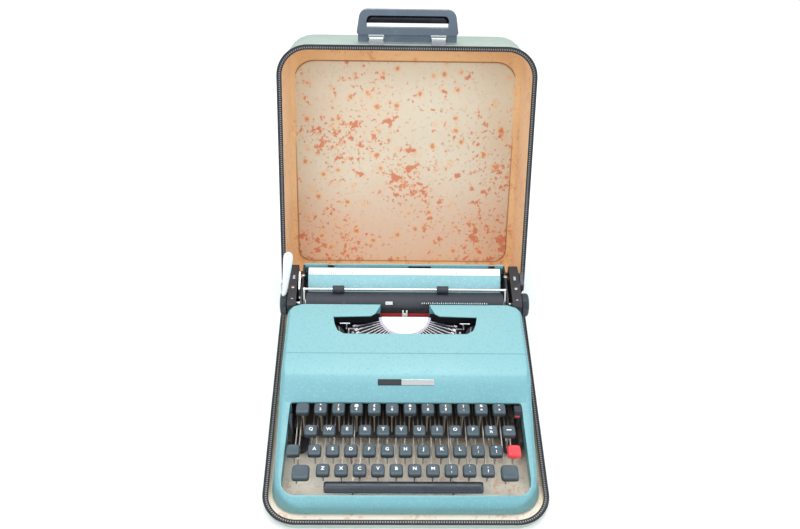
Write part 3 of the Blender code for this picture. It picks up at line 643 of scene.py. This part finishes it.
def handle():
    """The moulded handle, a near-black piece in the hollow of its grip as painted shade, and the two
    clips it turns in.
    """
    refined("carry_handle", "handle_moulding", handle_look, 1.5, "handle", 4)
    # Painted shade: a near-black copy of the handle's plastic lines the grip's hollow, standing for
    # the shade inside it.
    pan = Build()
    near, far = CASE_FRONT - 18.8, CASE_FRONT - 31.7
    rings = []
    for inset, depth in ((0.0, -3.6), (0.3, -1.0), (1.4, 1.0), (3.0, 2.0)):
        ring = []
        for x, y in ((-47.6, near), (-46.1, far), (46.1, far), (47.6, near)):
            ring.append((x - math.copysign(inset, x), y + (inset if y < near else -inset * 0.2)))
        ring = rounded(ring, [1.6, 4.6, 4.6, 1.6])
        rings.append([(x, min(y, near - 4.9), HANDLE_Z + depth) for x, y in ring])
    pan.loft(rings, caps=(False, True))
    pan.piece("handle_hollow", handle_hollow_shade, "handle", "handle_plastic", lid_point, 50)
    for side, end in SIDES:
        clip = Build()
        y, z = CASE_FRONT, HANDLE_Z
        profile = [(y + 0.2, z - 6.1), (y - 6.4, z - 5.3), (y - 8.0, z - 3.8), (y - 8.0, z + 3.8)]
        profile += [(y - 6.4, z + 5.3), (y + 0.2, z + 6.1), (y + 0.2, z + 5.3), (y - 6.0, z + 4.5)]
        profile += [(y - 7.2, z + 3.3), (y - 7.2, z - 3.3), (y - 6.0, z - 4.5), (y + 0.2, z - 5.3)]
        x0, x1 = side * 36.0 - 8.3, side * 36.0 + 8.3
        clip.rail(profile, x0, x1)
        for dz in (-9.6, 9.6):
            clip.box(x0, x1, y - 0.9, y - 0.05, z + dz - 3.2, z + dz + 3.2)
        clip.piece("handle_clip_" + end, grey_clip, "lid", "steel", lid_point, 30, 0.25)


# ---------------- machine casing


def casing():
    refined("body_shell", "casing_body", teal, 0.9, "machine")
    refined("ribbon_cover", "casing_cover", teal, 0.7, "cover")
    refined("rear_cover", "casing_rear", teal, 0.6, "machine")


PANEL_A = (108.0, 62.0)
PANEL_B = (132.0, 77.4)


def panel_point(x, along, off):
    """A point on the sloping front panel: along it from its lower edge, and off it outwards."""
    run = Vector((PANEL_B[0] - PANEL_A[0], PANEL_B[1] - PANEL_A[1]))
    run.normalize()
    return (x, PANEL_A[0] + run.x * along - run.y * off, PANEL_A[1] + run.y * along + run.x * off)


def nameplate():
    """A blank two-tone badge in the middle of the front panel."""
    for name, x0, x1, look, slot in (
        ("badge_dark", -30.7, -5.0, badge_black, "black_metal"),
        ("badge_bright", -5.0, 30.7, chrome, "bright_chrome"),
    ):
        work = Build()
        loops = []
        for off, inset in ((-0.6, 0.0), (0.5, 0.0), (0.9, 0.4)):
            a0, a1 = 18.4 + inset, 25.1 - inset
            row = [(x0 + (inset if x0 < -10 else 0), a0), (x1 - (inset if x1 > 0 else 0), a0)]
            row += [(row[1][0], a1), (row[0][0], a1)]
            loops.append([panel_point(x, a, off) for x, a in row])
        work.loft(loops)
        work.piece(name, look, "machine", slot, bevel=0.15)


# ---------------- keyboard

PITCH = 19.05
ROW_Y = {1: 96.0, 2: 76.0, 3: 57.0, 4: 38.0}
ROW_TOP = {1: 68.0, 2: 56.6, 3: 47.8, 4: 40.3}
ROW_X = {1: -110.4, 2: -100.8, 3: -96.3, 4: -86.8}
ROW_LEVER = {1: 31.5, 2: 29.0, 3: 26.5, 4: 23.0}
ROWS = {2: "QWERTYUIOP", 3: "ASDFGHJKL", 4: "ZXCVBNM"}
FULCRUM = (165.0, 34.0)
LEVER = 1


def key_x(row, place):
    return ROW_X[row] + PITCH * place


def superellipse(x, y, half_x, half_y, z, power):
    """A level ring between an ellipse and a rectangle."""
    ring = []
    for i in range(32):
        a = math.tau * (i + 0.5) / 32
        c, s = math.cos(a), math.sin(a)
        u = math.copysign(abs(c) ** (2 / power), c)
        v = math.copysign(abs(s) ** (2 / power), s)
        ring.append((x + half_x * u, y + half_y * v, z))
    return ring


def keytop(work, x, y, top, width=14.2, depth=13.8):
    """A moulded key: straight skirt, rounded shoulder and a shallow dish."""
    hx, hy = width / 2, depth / 2
    steps = [(0.5, -6.4, 5.6), (0.0, -6.0, 5.6), (0.05, -2.6, 5.6), (0.35, -1.2, 5.2)]
    steps += [(0.9, -0.35, 5.0), (1.5, -0.02, 4.8), (2.1, 0.0, 4.6), (2.7, -0.06, 4.4)]
    steps += [(3.9, -0.16, 3.6), (5.4, -0.22, 2.6)]
    loops = []
    for inset, drop, power in steps:
        loops.append(superellipse(x, y, hx - inset, hy - inset, top + drop, power))
    work.loft(loops)


def lever(work, x, y, lever_z, head_z):
    """A key's flat lever, from its upright end under the key to its eye on the fulcrum."""
    cy, cz = FULCRUM
    profile = [(y - 2.0, lever_z - 2.0), (cy - 4.4, cz - 2.4)]
    profile += arc(cy, cz, 2.7, 210, -30, 6)
    profile += arc(cy, cz, 4.6, -20, 100, 6)
    profile += [(y + 2.0, lever_z + 2.0), (y + 2.0, head_z), (y - 2.0, head_z)]
    work.rail(profile, x - 0.6, x + 0.6, LEVER)


def stem(work, x, y, under):
    """The two V-shaped sheets under a key that carry it on its lever."""
    web = [(x - 3.4, under + 0.5), (x + 3.4, under + 0.5)]
    web += [(x + 0.95, under - 6.0), (x - 0.95, under - 6.0)]
    for y0, y1 in ((y - 3.2, y - 2.5), (y + 2.1, y + 2.8)):
        work.loft([[(a, sheet_y, b) for a, b in web] for sheet_y in (y0, y1)], LEVER)


def key_parts(work, x, row):
    """A key of the usual size on its lever; returns where its top is."""
    y, top = ROW_Y[row], ROW_TOP[row]
    keytop(work, x, y, top)
    lever(work, x, y, ROW_LEVER[row], top - 5.0)
    stem(work, x, y, top - 6.5)
    return y, top


GLYPHS = {}


def legend(text, x, y, z, size, body):
    """A printed character, kept until every key's print is made."""
    GLYPHS.setdefault(body, []).append((text, x, y, z, size))


def make_legends():
    """Turns the kept characters into one mesh for each body."""
    for body, items in GLYPHS.items():
        joined = bmesh.new()
        for text, x, y, z, size in items:
            curve = bpy.data.curves.new("glyph", "FONT")
            curve.body = text
            curve.size = size * MM
            curve.align_x = "CENTER"
            curve.align_y = "CENTER"
            curve.resolution_u = 3
            curve.extrude = 0.00003
            curve.offset = 0.00016
            holder = bpy.data.objects.new("glyph", curve)
            bpy.context.scene.collection.objects.link(holder)
            bpy.context.view_layer.update()
            mesh = bpy.data.meshes.new_from_object(holder)
            mesh.transform(Matrix.Translation(at(x, y, z)))
            joined.from_mesh(mesh)
            bpy.data.objects.remove(holder)
            bpy.data.curves.remove(curve)
            bpy.data.meshes.remove(mesh)
        mesh = bpy.data.meshes.new("print_" + body)
        joined.to_mesh(mesh)
        joined.free()
        new_object("print_" + body, mesh, white_ink, body)


def one_key(name, node, body, x, row, text="", look=key_look, slot="key_plastic"):
    """A key that moves on its own."""
    work = Build()
    y, top = key_parts(work, x, row)
    piece = work.piece(name, [look, lever_steel], body, slot, angle=40)
    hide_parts(node)
    if text:
        legend(text, x, y + 0.3, top - 0.1, 5.4, body)


def letters():
    for row, text in ROWS.items():
        for place, character in enumerate(text):
            low = character.lower()
            names = "letter_key_" + low, "key_" + low, "letter_" + low
            one_key(*names, key_x(row, place), row, character)


def bank(name, node, body, keys, tie):
    """Keys that move as one, their levers joined by a tie bar; each prints two signs."""
    work = Build()
    for row, place, lower, upper in keys:
        x = key_x(row, place)
        y, top = key_parts(work, x, row)
        legend(upper, x, y + 2.6, top - 0.02, 4.3, body)
        legend(lower, x, y - 2.5, top - 0.02, 4.5, body)
    work.box(*tie, LEVER)
    piece = work.piece(name, [key_look, lever_steel], body, "key_plastic", angle=40)
    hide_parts(node)


def banks():
    upper = '"/@£_&\'()%*'
    figures = [(1, i + 1, low, up) for i, (low, up) in enumerate(zip("23456789-=+", upper))]
    tie = (key_x(1, 1), key_x(1, 11), 174.8, 176.8, 32.5, 35.5)
    bank("figure_bank", "figure_keys", "figures", figures, tie)
    symbols = [(2, 10, "½", "¼"), (3, 9, ":", "/"), (3, 10, "!", "^")]
    symbols += [(4, 7, ",", ";"), (4, 8, ".", "'"), (4, 9, "?", "-")]
    tie = (key_x(4, 7), key_x(3, 10), 170.0, 172.0, 23.3, 26.3)
    bank("symbol_bank", "symbol_keys", "symbols", symbols, tie)


def special_keys():
    one_key("lock_key", "shift_lock_key", "shift_lock", -118.5, 3)
    one_key("tab_key", "tabulator_key", "tabulator", key_x(3, 11), 3, "", red_look, "red_plastic")
    one_key("margin_key", "margin_release_key", "margin_release", key_x(1, 0), 1)
    one_key("back_key", "backspace_key", "backspace", key_x(2, 11), 2)
    work = Build()
    for x, y, lever_x in ((-109.4, 34.4, -114.6), (107.0, 34.8, 104.0)):
        keytop(work, x, y, 41.0, 18.2, 17.4)
        lever(work, lever_x, y, ROW_LEVER[4], 36.0)
        stem(work, lever_x, y, 34.5)
    work.box(-114.6, 104.0, 170.0, 172.0, 16.3, 19.3, LEVER)
    piece = work.piece("shift_pair", [key_look, lever_steel], "shift", "key_plastic", angle=40)
    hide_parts("shift_keys")
    dash = Build()
    x, y = key_x(2, 11), ROW_Y[2]
    dash.box(x - 2.6, x + 2.6, y - 0.6, y + 0.6, ROW_TOP[2] - 0.24, ROW_TOP[2] - 0.1)
    dash.piece("backspace_mark", white_ink, "backspace", bevel=0.03)


def space_bar():
    work = Build()
    loops = []
    section = [(18.9, 24.2), (29.3, 25.0), (29.8, 28.6), (29.0, 30.6), (27.2, 31.4), (24.8, 31.5)]
    section += [(22.0, 30.4), (20.0, 28.6), (18.9, 26.4)]
    cy, cz = 24.6, 27.5
    ends = [(-85.5, 0.72), (-85.1, 0.88), (-84.2, 0.97), (-82.6, 1.0)]
    ends += [(76.6, 1.0), (78.2, 0.97), (79.1, 0.88), (79.5, 0.72)]
    for x, scale in ends:
        loops.append([(x, cy + (y - cy) * scale, cz + (z - cz) * scale) for y, z in section])
    work.loft(loops)
    for x in (-55.8, 49.1):
        lever(work, x, 24.3, 14.0, 26.0)
    looks = [black_plastic, lever_steel]
    piece = work.piece("space_bar_moulding", looks, "space", "black_plastic", angle=50)
    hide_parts("space_bar")


def comb():
    """The guide comb: a plate with a turned-up edge cut into fingers between the levers."""
    work = Build()
    work.box(-118.0, 118.0, 99.0, 158.0, 13.0, 14.6)
    work.box(-118.0, 118.0, 99.0, 101.0, 14.6, 16.0)
    taken = []
    for row in ROW_X:
        taken += [key_x(row, place) for place in range(12)]
    taken.sort()
    for a, b in zip(taken, taken[1:]):
        mid = (a + b) / 2
        if b - a > 3.4 and abs(mid) < 116:
            work.box(mid - 0.8, mid + 0.8, 99.1, 100.9, 16.0, 17.0)
    piece = work.piece("guide_comb", plate_look, "machine", "brown_plate")
    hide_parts("lever_comb")
    for side, end in SIDES:
        flange = Build()
        profile = [(80.4, 10.0), (104.0, 10.0), (104.0, 29.0), (80.4, 29.0)]
        flange.rail(profile, side * 124.2 - 0.25, side * 124.2 + 0.25)
        flange.piece("side_flange_" + end, plate_look, "machine", "brown_plate")


def small_levers():
    refined("ribbon_selector", "colour_lever", black_plastic, 0.6, "selector")
    refined("tab_lever", "tab_set_lever", black_plastic, 0.4, "tab_set")
    mark = Build()
    mark.box(117.0, 121.8, 92.75, 93.05, 56.5, 58.6)
    mark.piece("colour_mark", red_look, "selector", "red_plastic")


# ---------------- typing mechanism

TYPE_PITCH = 2.54
SLOPE = math.radians(6)
SEGMENT = (227.0, 77.0)


def on_plane(across, down, off):
    """A point on the segment's plane, counted forward from its centre and off below it."""
    y = SEGMENT[0] - down * math.cos(SLOPE) + off * math.sin(SLOPE)
    z = SEGMENT[1] - down * math.sin(SLOPE) - off * math.cos(SLOPE)
    return (across, y, z)


def half_ring(work, inner, outer, near, far, index):
    """Half a disc or ring lying on the segment's plane."""
    outline = arc(0.0, 0.0, outer, 4, 176, 40)
    if inner:
        outline += arc(0.0, 0.0, inner, 176, 4, 32)
    work.loft([[on_plane(a, d, off) for a, d in outline] for off in (near, far)], index)


def type_basket():
    """The slotted segment with its fan of type bars, and what shows beside and beneath it."""
    work = Build()
    half_ring(work, 0.0, 24.4, 0.3, 4.6, 0)
    half_ring(work, 24.4, 24.7, 0.8, 4.0, 3)
    half_ring(work, 24.7, 27.6, 0.3, 4.6, 0)
    half_ring(work, 27.6, 30.6, 0.9, 4.6, 4)
    bars = 30
    bar, type_head = (27.8, 62.0, 0.5, 0.2, 0.9), (59.0, 63.0, 1.1, -1.6, 0.9)
    for i in range(bars):
        angle = math.radians(16.0 + (164.0 - 16.0) * i / (bars - 1))
        c, s = math.cos(angle), math.sin(angle)
        for inner, outer, half, high, low in (bar, type_head):
            section = ((-half, high), (half, high), (half, low), (-half, low))
            loops = []
            for r in (inner, outer):
                loops.append([on_plane(r * c + w * s, r * s - w * c, off) for w, off in section])
            work.loft(loops, 1)
    rest = arc(0.0, 0.0, 63.5, 14, 166, 30) + arc(0.0, 0.0, 30.0, 166, 14, 30)
    work.loft([[on_plane(a, d, off) for a, d in rest] for off in (2.8, 4.2)], 2)
    looks = [segment_white, bar_steel, black, ribbon_red, slot_lavender]
    piece = work.piece("type_segment", looks, "segment", "steel", angle=30)
    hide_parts("type_basket")
    under = Build()
    under.box(-119.0, 119.0, 168.0, 262.0, 50.0, 51.0)
    under.piece("mechanism_floor", black, "machine", "black_metal")
    liner = Build()
    for side in (-1, 1):
        lo, hi = sorted((side * 29.0, side * 118.0))
        liner.box(lo, hi, 228.3, 228.9, 63.0, 78.5)
    liner.piece("cover_liner", black, "cover", "teal_paint")
    links = Build()
    for side in (-1, 1):
        x = side * 62.0
        links.box(x - 4.0, x + 4.0, 206.0, 207.4, 69.5, 76.0)
        links.box(x - 4.0, x - 2.6, 198.0, 207.0, 69.5, 75.0)
        links.post(x + 1.6, 201.0, [(1.8, 69.0), (1.8, 75.0), (1.2, 75.8)], 14)
        links.box(side * 68.0 - 0.7, side * 68.0 + 0.7, 206.0, 216.0, 69.5, 76.0)
        links.box(side * 52.0 - 5.0, side * 52.0 + 5.0, 219.0, 221.0, 66.0, 68.5)
        links.tube([(side * 77.0, 209.0, 76.0), (side * 74.0, 194.0, 74.5)], 1.1)
        links.tube([(side * 58.0, 203.0, 75.0), (side * 50.0, 208.5, 74.0)], 1.4)
        links.tube([(side * 76.0, 214.0, 76.5), (side * 64.0, 214.5, 76.0)], 1.0)
    links.piece("ribbon_links", bar_steel, "machine", "steel", bevel=0.2)


SPOOL = (91.0, 197.0)


def ribbon_parts():
    """The two spools, the fork, the two-colour ribbon and the scale behind it."""
    for side, end in SIDES:
        x, y = side * SPOOL[0], SPOOL[1]
        work = Build()
        flanges = [(2.8, 60.0), (21.8, 60.0), (22.0, 60.8), (11.0, 61.2), (11.0, 71.3), (22.0, 71.6)]
        flanges += [(22.2, 72.1), (21.8, 72.6), (20.6, 72.3), (8.0, 72.3), (7.0, 73.2), (3.0, 74.0)]
        work.post(x, y, flanges, 40)
        work.post(x, y, [(2.9, 73.8), (2.9, 78.4), (2.2, 79.0)], 16)
        work.post(x, y, [(10.9, 61.4), (16.5, 61.4), (16.5, 71.2), (10.9, 71.2)], 40, 1)
        piece = work.piece("spool_" + end, [black, ribbon_black], "spool_" + end, "steel", angle=30)
        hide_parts("ribbon_spool_" + end)
    guide = Build()
    for side in (-1, 1):
        guide.box(side * 2.2 - 0.9, side * 2.2 + 0.9, 231.0, 232.3, 62.0, 80.5)
    guide.box(-2.2, 2.2, 231.2, 232.1, 71.0, 76.5)
    guide.box(-3.0, 3.0, 231.1, 232.2, 60.0, 64.5)
    piece = guide.piece("ribbon_fork", white_scale, "guide", "steel", bevel=0.15)
    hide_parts("ribbon_guide")
    for name, look, z0, z1 in (
        ("ribbon_upper", ribbon_black, 74.8, 81.0),
        ("ribbon_lower", ribbon_red, 66.0, 74.8),
    ):
        band = Build()
        path = [(-107.5, 199.0, -5.0), (-90.0, 228.0, 3.0), (-60.0, 231.6, 4.0), (-38.0, 233.2, 0.0)]
        path += [(38.0, 233.2, 0.0), (60.0, 231.6, 4.0), (90.0, 228.0, 3.0), (107.5, 199.0, -5.0)]
        loops = []
        for x, y, rise in path:
            low, high = z0 + rise, z1 + rise
            if abs(x) > 100:
                low, high = 61.6 + (z0 - 66.0) * 0.6, 61.6 + (z1 - 66.0) * 0.6
            near, far = y - 0.08, y + 0.08
            loops.append([(x, near, low), (x, far, low), (x, far, high), (x, near, high)])
        band.loft(loops)
        band.piece(name, look, "machine", None, angle=60)
    gauge = Build()
    gauge.box(19.0, 96.0, 235.3, 235.6, 85.5, 91.0)
    gauge.piece("line_gauge", black_plastic, "machine", "black_plastic")
    ticks = Build()
    for i in range(31):
        x = 20.0 + TYPE_PITCH * i
        ticks.box(x - 0.5, x + 0.5, 235.1, 235.35, 88.4, 90.8 if i % 2 else 90.2)
    ticks.box(-23.0, -14.5, 235.0, 235.5, 87.0, 91.4)
    ticks.piece("line_gauge_marks", white_ink, "machine")


# ---------------- carriage

PLATEN = (251.0, 73.0)


def platen():
    work = Build()
    work.bar(*PLATEN, [(-117.5, 13.6), (-117.1, 14.5), (117.1, 14.5), (117.5, 13.6)], 64, 0)
    work.bar(*PLATEN, [(-139.6, 3.0), (139.6, 3.0)], 20, 1)
    for side in (-1, 1):
        collar = [(side * 117.6, 8.0), (side * 118.4, 8.0), (side * 118.4, 4.5), (side * 121.0, 4.5)]
        work.bar(*PLATEN, collar, 24, 1)
    piece = work.piece("platen_roller", [rubber, steel], "roller", "dark_rubber", angle=30)
    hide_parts("platen")
    for side, end in SIDES:
        knob = Build()
        teeth = 44
        loops = []
        rows = [(140.0, 12.6, 0.0), (140.4, 13.2, 0.0), (141.2, 14.0, 0.55), (146.3, 14.0, 0.55)]
        rows += [(147.3, 13.4, 0.2), (148.1, 12.4, 0.0), (148.25, 11.0, 0.0), (147.7, 10.0, 0.0)]
        for x, radius, depth in rows + [(147.4, 4.0, 0.0)]:
            ring = []
            for i, a in enumerate(turn(teeth * 4)):
                r = radius - (depth if i % 4 in (2, 3) else 0.0)
                ring.append((side * x, PLATEN[0] + r * math.cos(a), PLATEN[1] + r * math.sin(a)))
            loops.append(ring)
        knob.loft(loops)
        piece = knob.piece("knob_" + end, black_plastic, "roller", "black_plastic", angle=25)
        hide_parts("platen_knob_" + end)
        hub = Build()
        hub.bar(*PLATEN, [(side * 139.4, 4.8), (side * 139.9, 4.8)], 20)
        hub.piece("knob_%s_hub" % end, chrome, "roller", "bright_chrome")


BAIL = (256.5, 91.5)
BAIL_PIVOT = (240.0, 66.0)


def bail():
    """The paper bail: a chromed bar with two rubber rollers on a pair of arms."""
    work = Build()
    y, z = BAIL
    work.bar(y, z, [(-120.9, 1.0), (-120.5, 1.75), (120.5, 1.75), (120.9, 1.0)], 16, 0)
    for centre in (-79.0, 45.0):
        profile = [(centre - 7.0, 3.6), (centre - 6.4, 4.5), (centre + 6.4, 4.5), (centre + 7.0, 3.6)]
        work.bar(y, z, profile, 28, 1)
    start, end = Vector(BAIL_PIVOT), Vector(BAIL)
    run = (end - start).normalized()
    across = Vector((-run.y, run.x))
    ring = []
    for centre, first in ((end, 0.0), (start, math.pi)):
        for k in range(9):
            a = first + math.pi * k / 8
            ring.append(tuple(centre + across * 2.1 * math.cos(a) + run * 2.1 * math.sin(a)))
    for x0, x1 in ((-120.7, -118.8), (118.8, 120.7)):
        work.rail(ring, x0, x1)
    piece = work.piece("bail_assembly", [chrome, rubber], "bail", "steel", angle=30)
    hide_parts("paper_bail")


def carriage():
    """The carriage's own castings and levers, its margin scale and the trims on its ends."""
    for node, name, look, width, slot, body in (
        ("carriage_frame", "carriage_casting", black, 0.5, "black_metal", "carriage"),
        ("paper_table", "paper_rest", teal_rest_lit, 0.35, "teal_paint", "carriage"),
        ("paper_release_lever", "release_strip", chrome, 0.3, "steel", "paper_release"),
        ("carriage_release_lever", "release_tab", black_plastic, 0.8, "black_plastic",
         "carriage_release"),
        ("line_space_arm", "spacing_arm", steel, 0.4, "steel", "spacer"),
        ("margin_stop_left", "stop_block_left", steel, 0.35, "steel", "stop_left"),
        ("margin_stop_right", "stop_block_right", steel, 0.35, "steel", "stop_right"),
    ):
        refined(node, name, look, width, body, 2)
    scale = Build()
    run = Vector((8.5, 4.8)).normalized()
    across = Vector((-run.y, run.x))

    def on_scale(x, along, off):
        """A point on the sloping scale: along it from its lower edge, and off it outwards."""
        base = Vector((283.2, 90.5)) + run * along + across * off
        return (x, base.x, base.y)

    strip = [(0.4, 0.0), (9.2, 0.0), (9.2, 0.35), (0.4, 0.35)]
    scale.loft([[on_scale(x, a, o) for a, o in strip] for x in (-116.5, 116.5)])
    scale.piece("margin_scale", white_scale, "carriage", "steel")
    ticks = Build()
    for i in range(91):
        x = -114.3 + TYPE_PITCH * i
        long = 3.6 if i % 10 == 0 else (2.6 if i % 5 == 0 else 1.7)
        ring = [(x - 0.22, 0.9), (x + 0.22, 0.9), (x + 0.22, 0.9 + long), (x - 0.22, 0.9 + long)]
        ticks.loft([[on_scale(a, b, off) for a, b in ring] for off in (0.3, 0.42)])
    ticks.piece("margin_ticks", black_ink, "carriage")
    for side, end in SIDES:
        trims = Build()
        for y0, y1 in ((244.0, 245.2), (274.5, 280.0)):
            z0 = 86.3 + (y0 - 242) * 0.16
            z1 = 86.3 + (y1 - 242) * 0.16
            ring = [(y0, z0), (y1, z1), (y1, z1 + 0.4), (y0, z0 + 0.4)]
            trims.rail(ring, side * 133.5 - 1.4, side * 133.5 + 1.4)
        for x, y, z in ((side * 133.8, 262.0, 89.3), (side * 122.6, 280.0, 92.3)):
            trims.post(x, y, [(2.1, z - 0.5), (2.1, z + 0.5), (1.5, z + 1.0)], 18)
        trims.piece("end_trim_" + end, chrome, "carriage", "bright_chrome", angle=30, bevel=0.12)
    fill = Build()
    for side in (-1, 1):
        lo, hi = sorted((side * 121.8, side * 129.2))
        fill.box(lo, hi, 239.0, 256.0, 62.0, 69.3)
        fill.box(lo, hi, 262.0, 299.0, 62.0, 72.0)
    fill.piece("end_decks", black, "carriage", "black_metal")
    label = Build()
    label.box(5.0, 33.0, 302.3, 302.7, 85.4, 88.6)
    label.piece("rear_blank_label", black_plastic, "machine", "black_plastic")
    for slot in nodes["frame"].material_slots:
        slot.material = black


def return_lever():
    """A tapered blade with a crowned face, rounded at its top."""
    work = Build()
    loops = []
    rows = [(90.0, -143.6, 2.2), (93.0, -142.6, 2.5), (97.0, -141.6, 2.9), (106.0, -140.2, 3.5)]
    rows += [(118.0, -138.4, 4.2), (130.0, -136.6, 4.8), (141.0, -135.0, 5.4), (148.0, -134.0, 5.6)]
    rows += [(152.0, -133.7, 5.0), (154.1, -133.5, 4.0), (155.2, -133.4, 2.6), (155.5, -133.4, 1.2)]
    for z, x, half in rows:
        thick = min(1.9, half) * 0.95
        loops.append([(x + half * math.cos(a), 247.0 + thick * math.sin(a), z) for a in turn(20)])
    work.loft(loops)
    piece = work.piece("return_blade", lever_bright, "lever", "bright_chrome", angle=180)
    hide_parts("return_lever")
    wire = Build()
    path = [(-146.0, 252.0, 92.4), (-147.4, 262.0, 92.9), (-146.2, 272.0, 93.2), (-144.8, 279.0, 92.0)]
    wire.tube(path, 0.7)
    wire.piece("spacer_wire", chrome, "carriage", "bright_chrome", angle=60)


# ---------------- stage


def stage():
    """A plain pale floor under soft light."""
    floor_mesh = bpy.data.meshes.new("floor")
    far = 6.0
    corners = [(-far, -far, 0), (far, -far, 0), (far, far, 0), (-far, far, 0)]
    floor_mesh.from_pydata(corners, [], [(0, 1, 2, 3)])
    floor = bpy.data.objects.new("floor", floor_mesh)
    bpy.context.scene.collection.objects.link(floor)
    pale = Look("pale_floor", (0.93, 0.945, 0.95), 0.7)
    floor_mesh.materials.append(pale.material)
    world = bpy.data.worlds.new("studio")
    bpy.context.scene.world = world
    world.use_nodes = True
    background = world.node_tree.nodes["Background"]
    background.inputs["Color"].default_value = (0.95, 0.985, 1.0, 1.0)
    background.inputs["Strength"].default_value = 0.78
    for name, place, size, power in (
        ("key_light", (-0.9, -1.2, 1.6), 1.2, 15.0),
        ("fill_light", (1.2, -1.0, 1.3), 1.4, 10.0),
        ("top_light", (0.0, 0.25, 2.2), 1.4, 24.0),
    ):
        data = bpy.data.lights.new(name, "AREA")
        data.shape = "SQUARE"
        data.size = size
        data.energy = power
        lamp = bpy.data.objects.new(name, data)
        bpy.context.scene.collection.objects.link(lamp)
        lamp.location = place
        aim = Vector((0.0, 0.05, 0.08)) - Vector(place)
        lamp.rotation_euler = aim.to_track_quat("-Z", "Y").to_euler()


def camera():
    """The view from above and in front of the keyboard."""
    data = bpy.data.cameras.new("view")
    data.sensor_width = 36.0
    data.lens = 37.68
    obj = bpy.data.objects.new("view", data)
    bpy.context.scene.collection.objects.link(obj)
    obj.location = at(-24.5, -481.4, 764.8)
    pitch, yaw, roll = math.radians(40.65), math.radians(1.4), math.radians(1.35)
    look = Vector((math.sin(yaw) * math.cos(pitch), math.cos(yaw) * math.cos(pitch), -math.sin(pitch)))
    obj.rotation_mode = "QUATERNION"
    obj.rotation_quaternion = look.to_track_quat("-Z", "Y") @ Quaternion((0, 0, 1), roll)
    data.clip_end = 50.0
    bpy.context.scene.camera = obj
    bpy.context.scene.view_settings.view_transform = "Standard"


case_shells()
lid_lining()
tray_lining()
zip_half("zip_tray", "case", at, -0.1, 0.0, (-0.3, 0.15))
zip_half("zip_lid", "lid", lid_point, 0.35, 0.5, (0.22, 0.6))
piping("piping_tray", "case", at, 0.6, 3.2)
piping("piping_lid", "lid", lid_point, 4.0, 105.2)
handle()
casing()
nameplate()
letters()
banks()
special_keys()
space_bar()
comb()
small_levers()
type_basket()
ribbon_parts()
platen()
bail()
carriage()
return_lever()
make_legends()
stage()
camera()
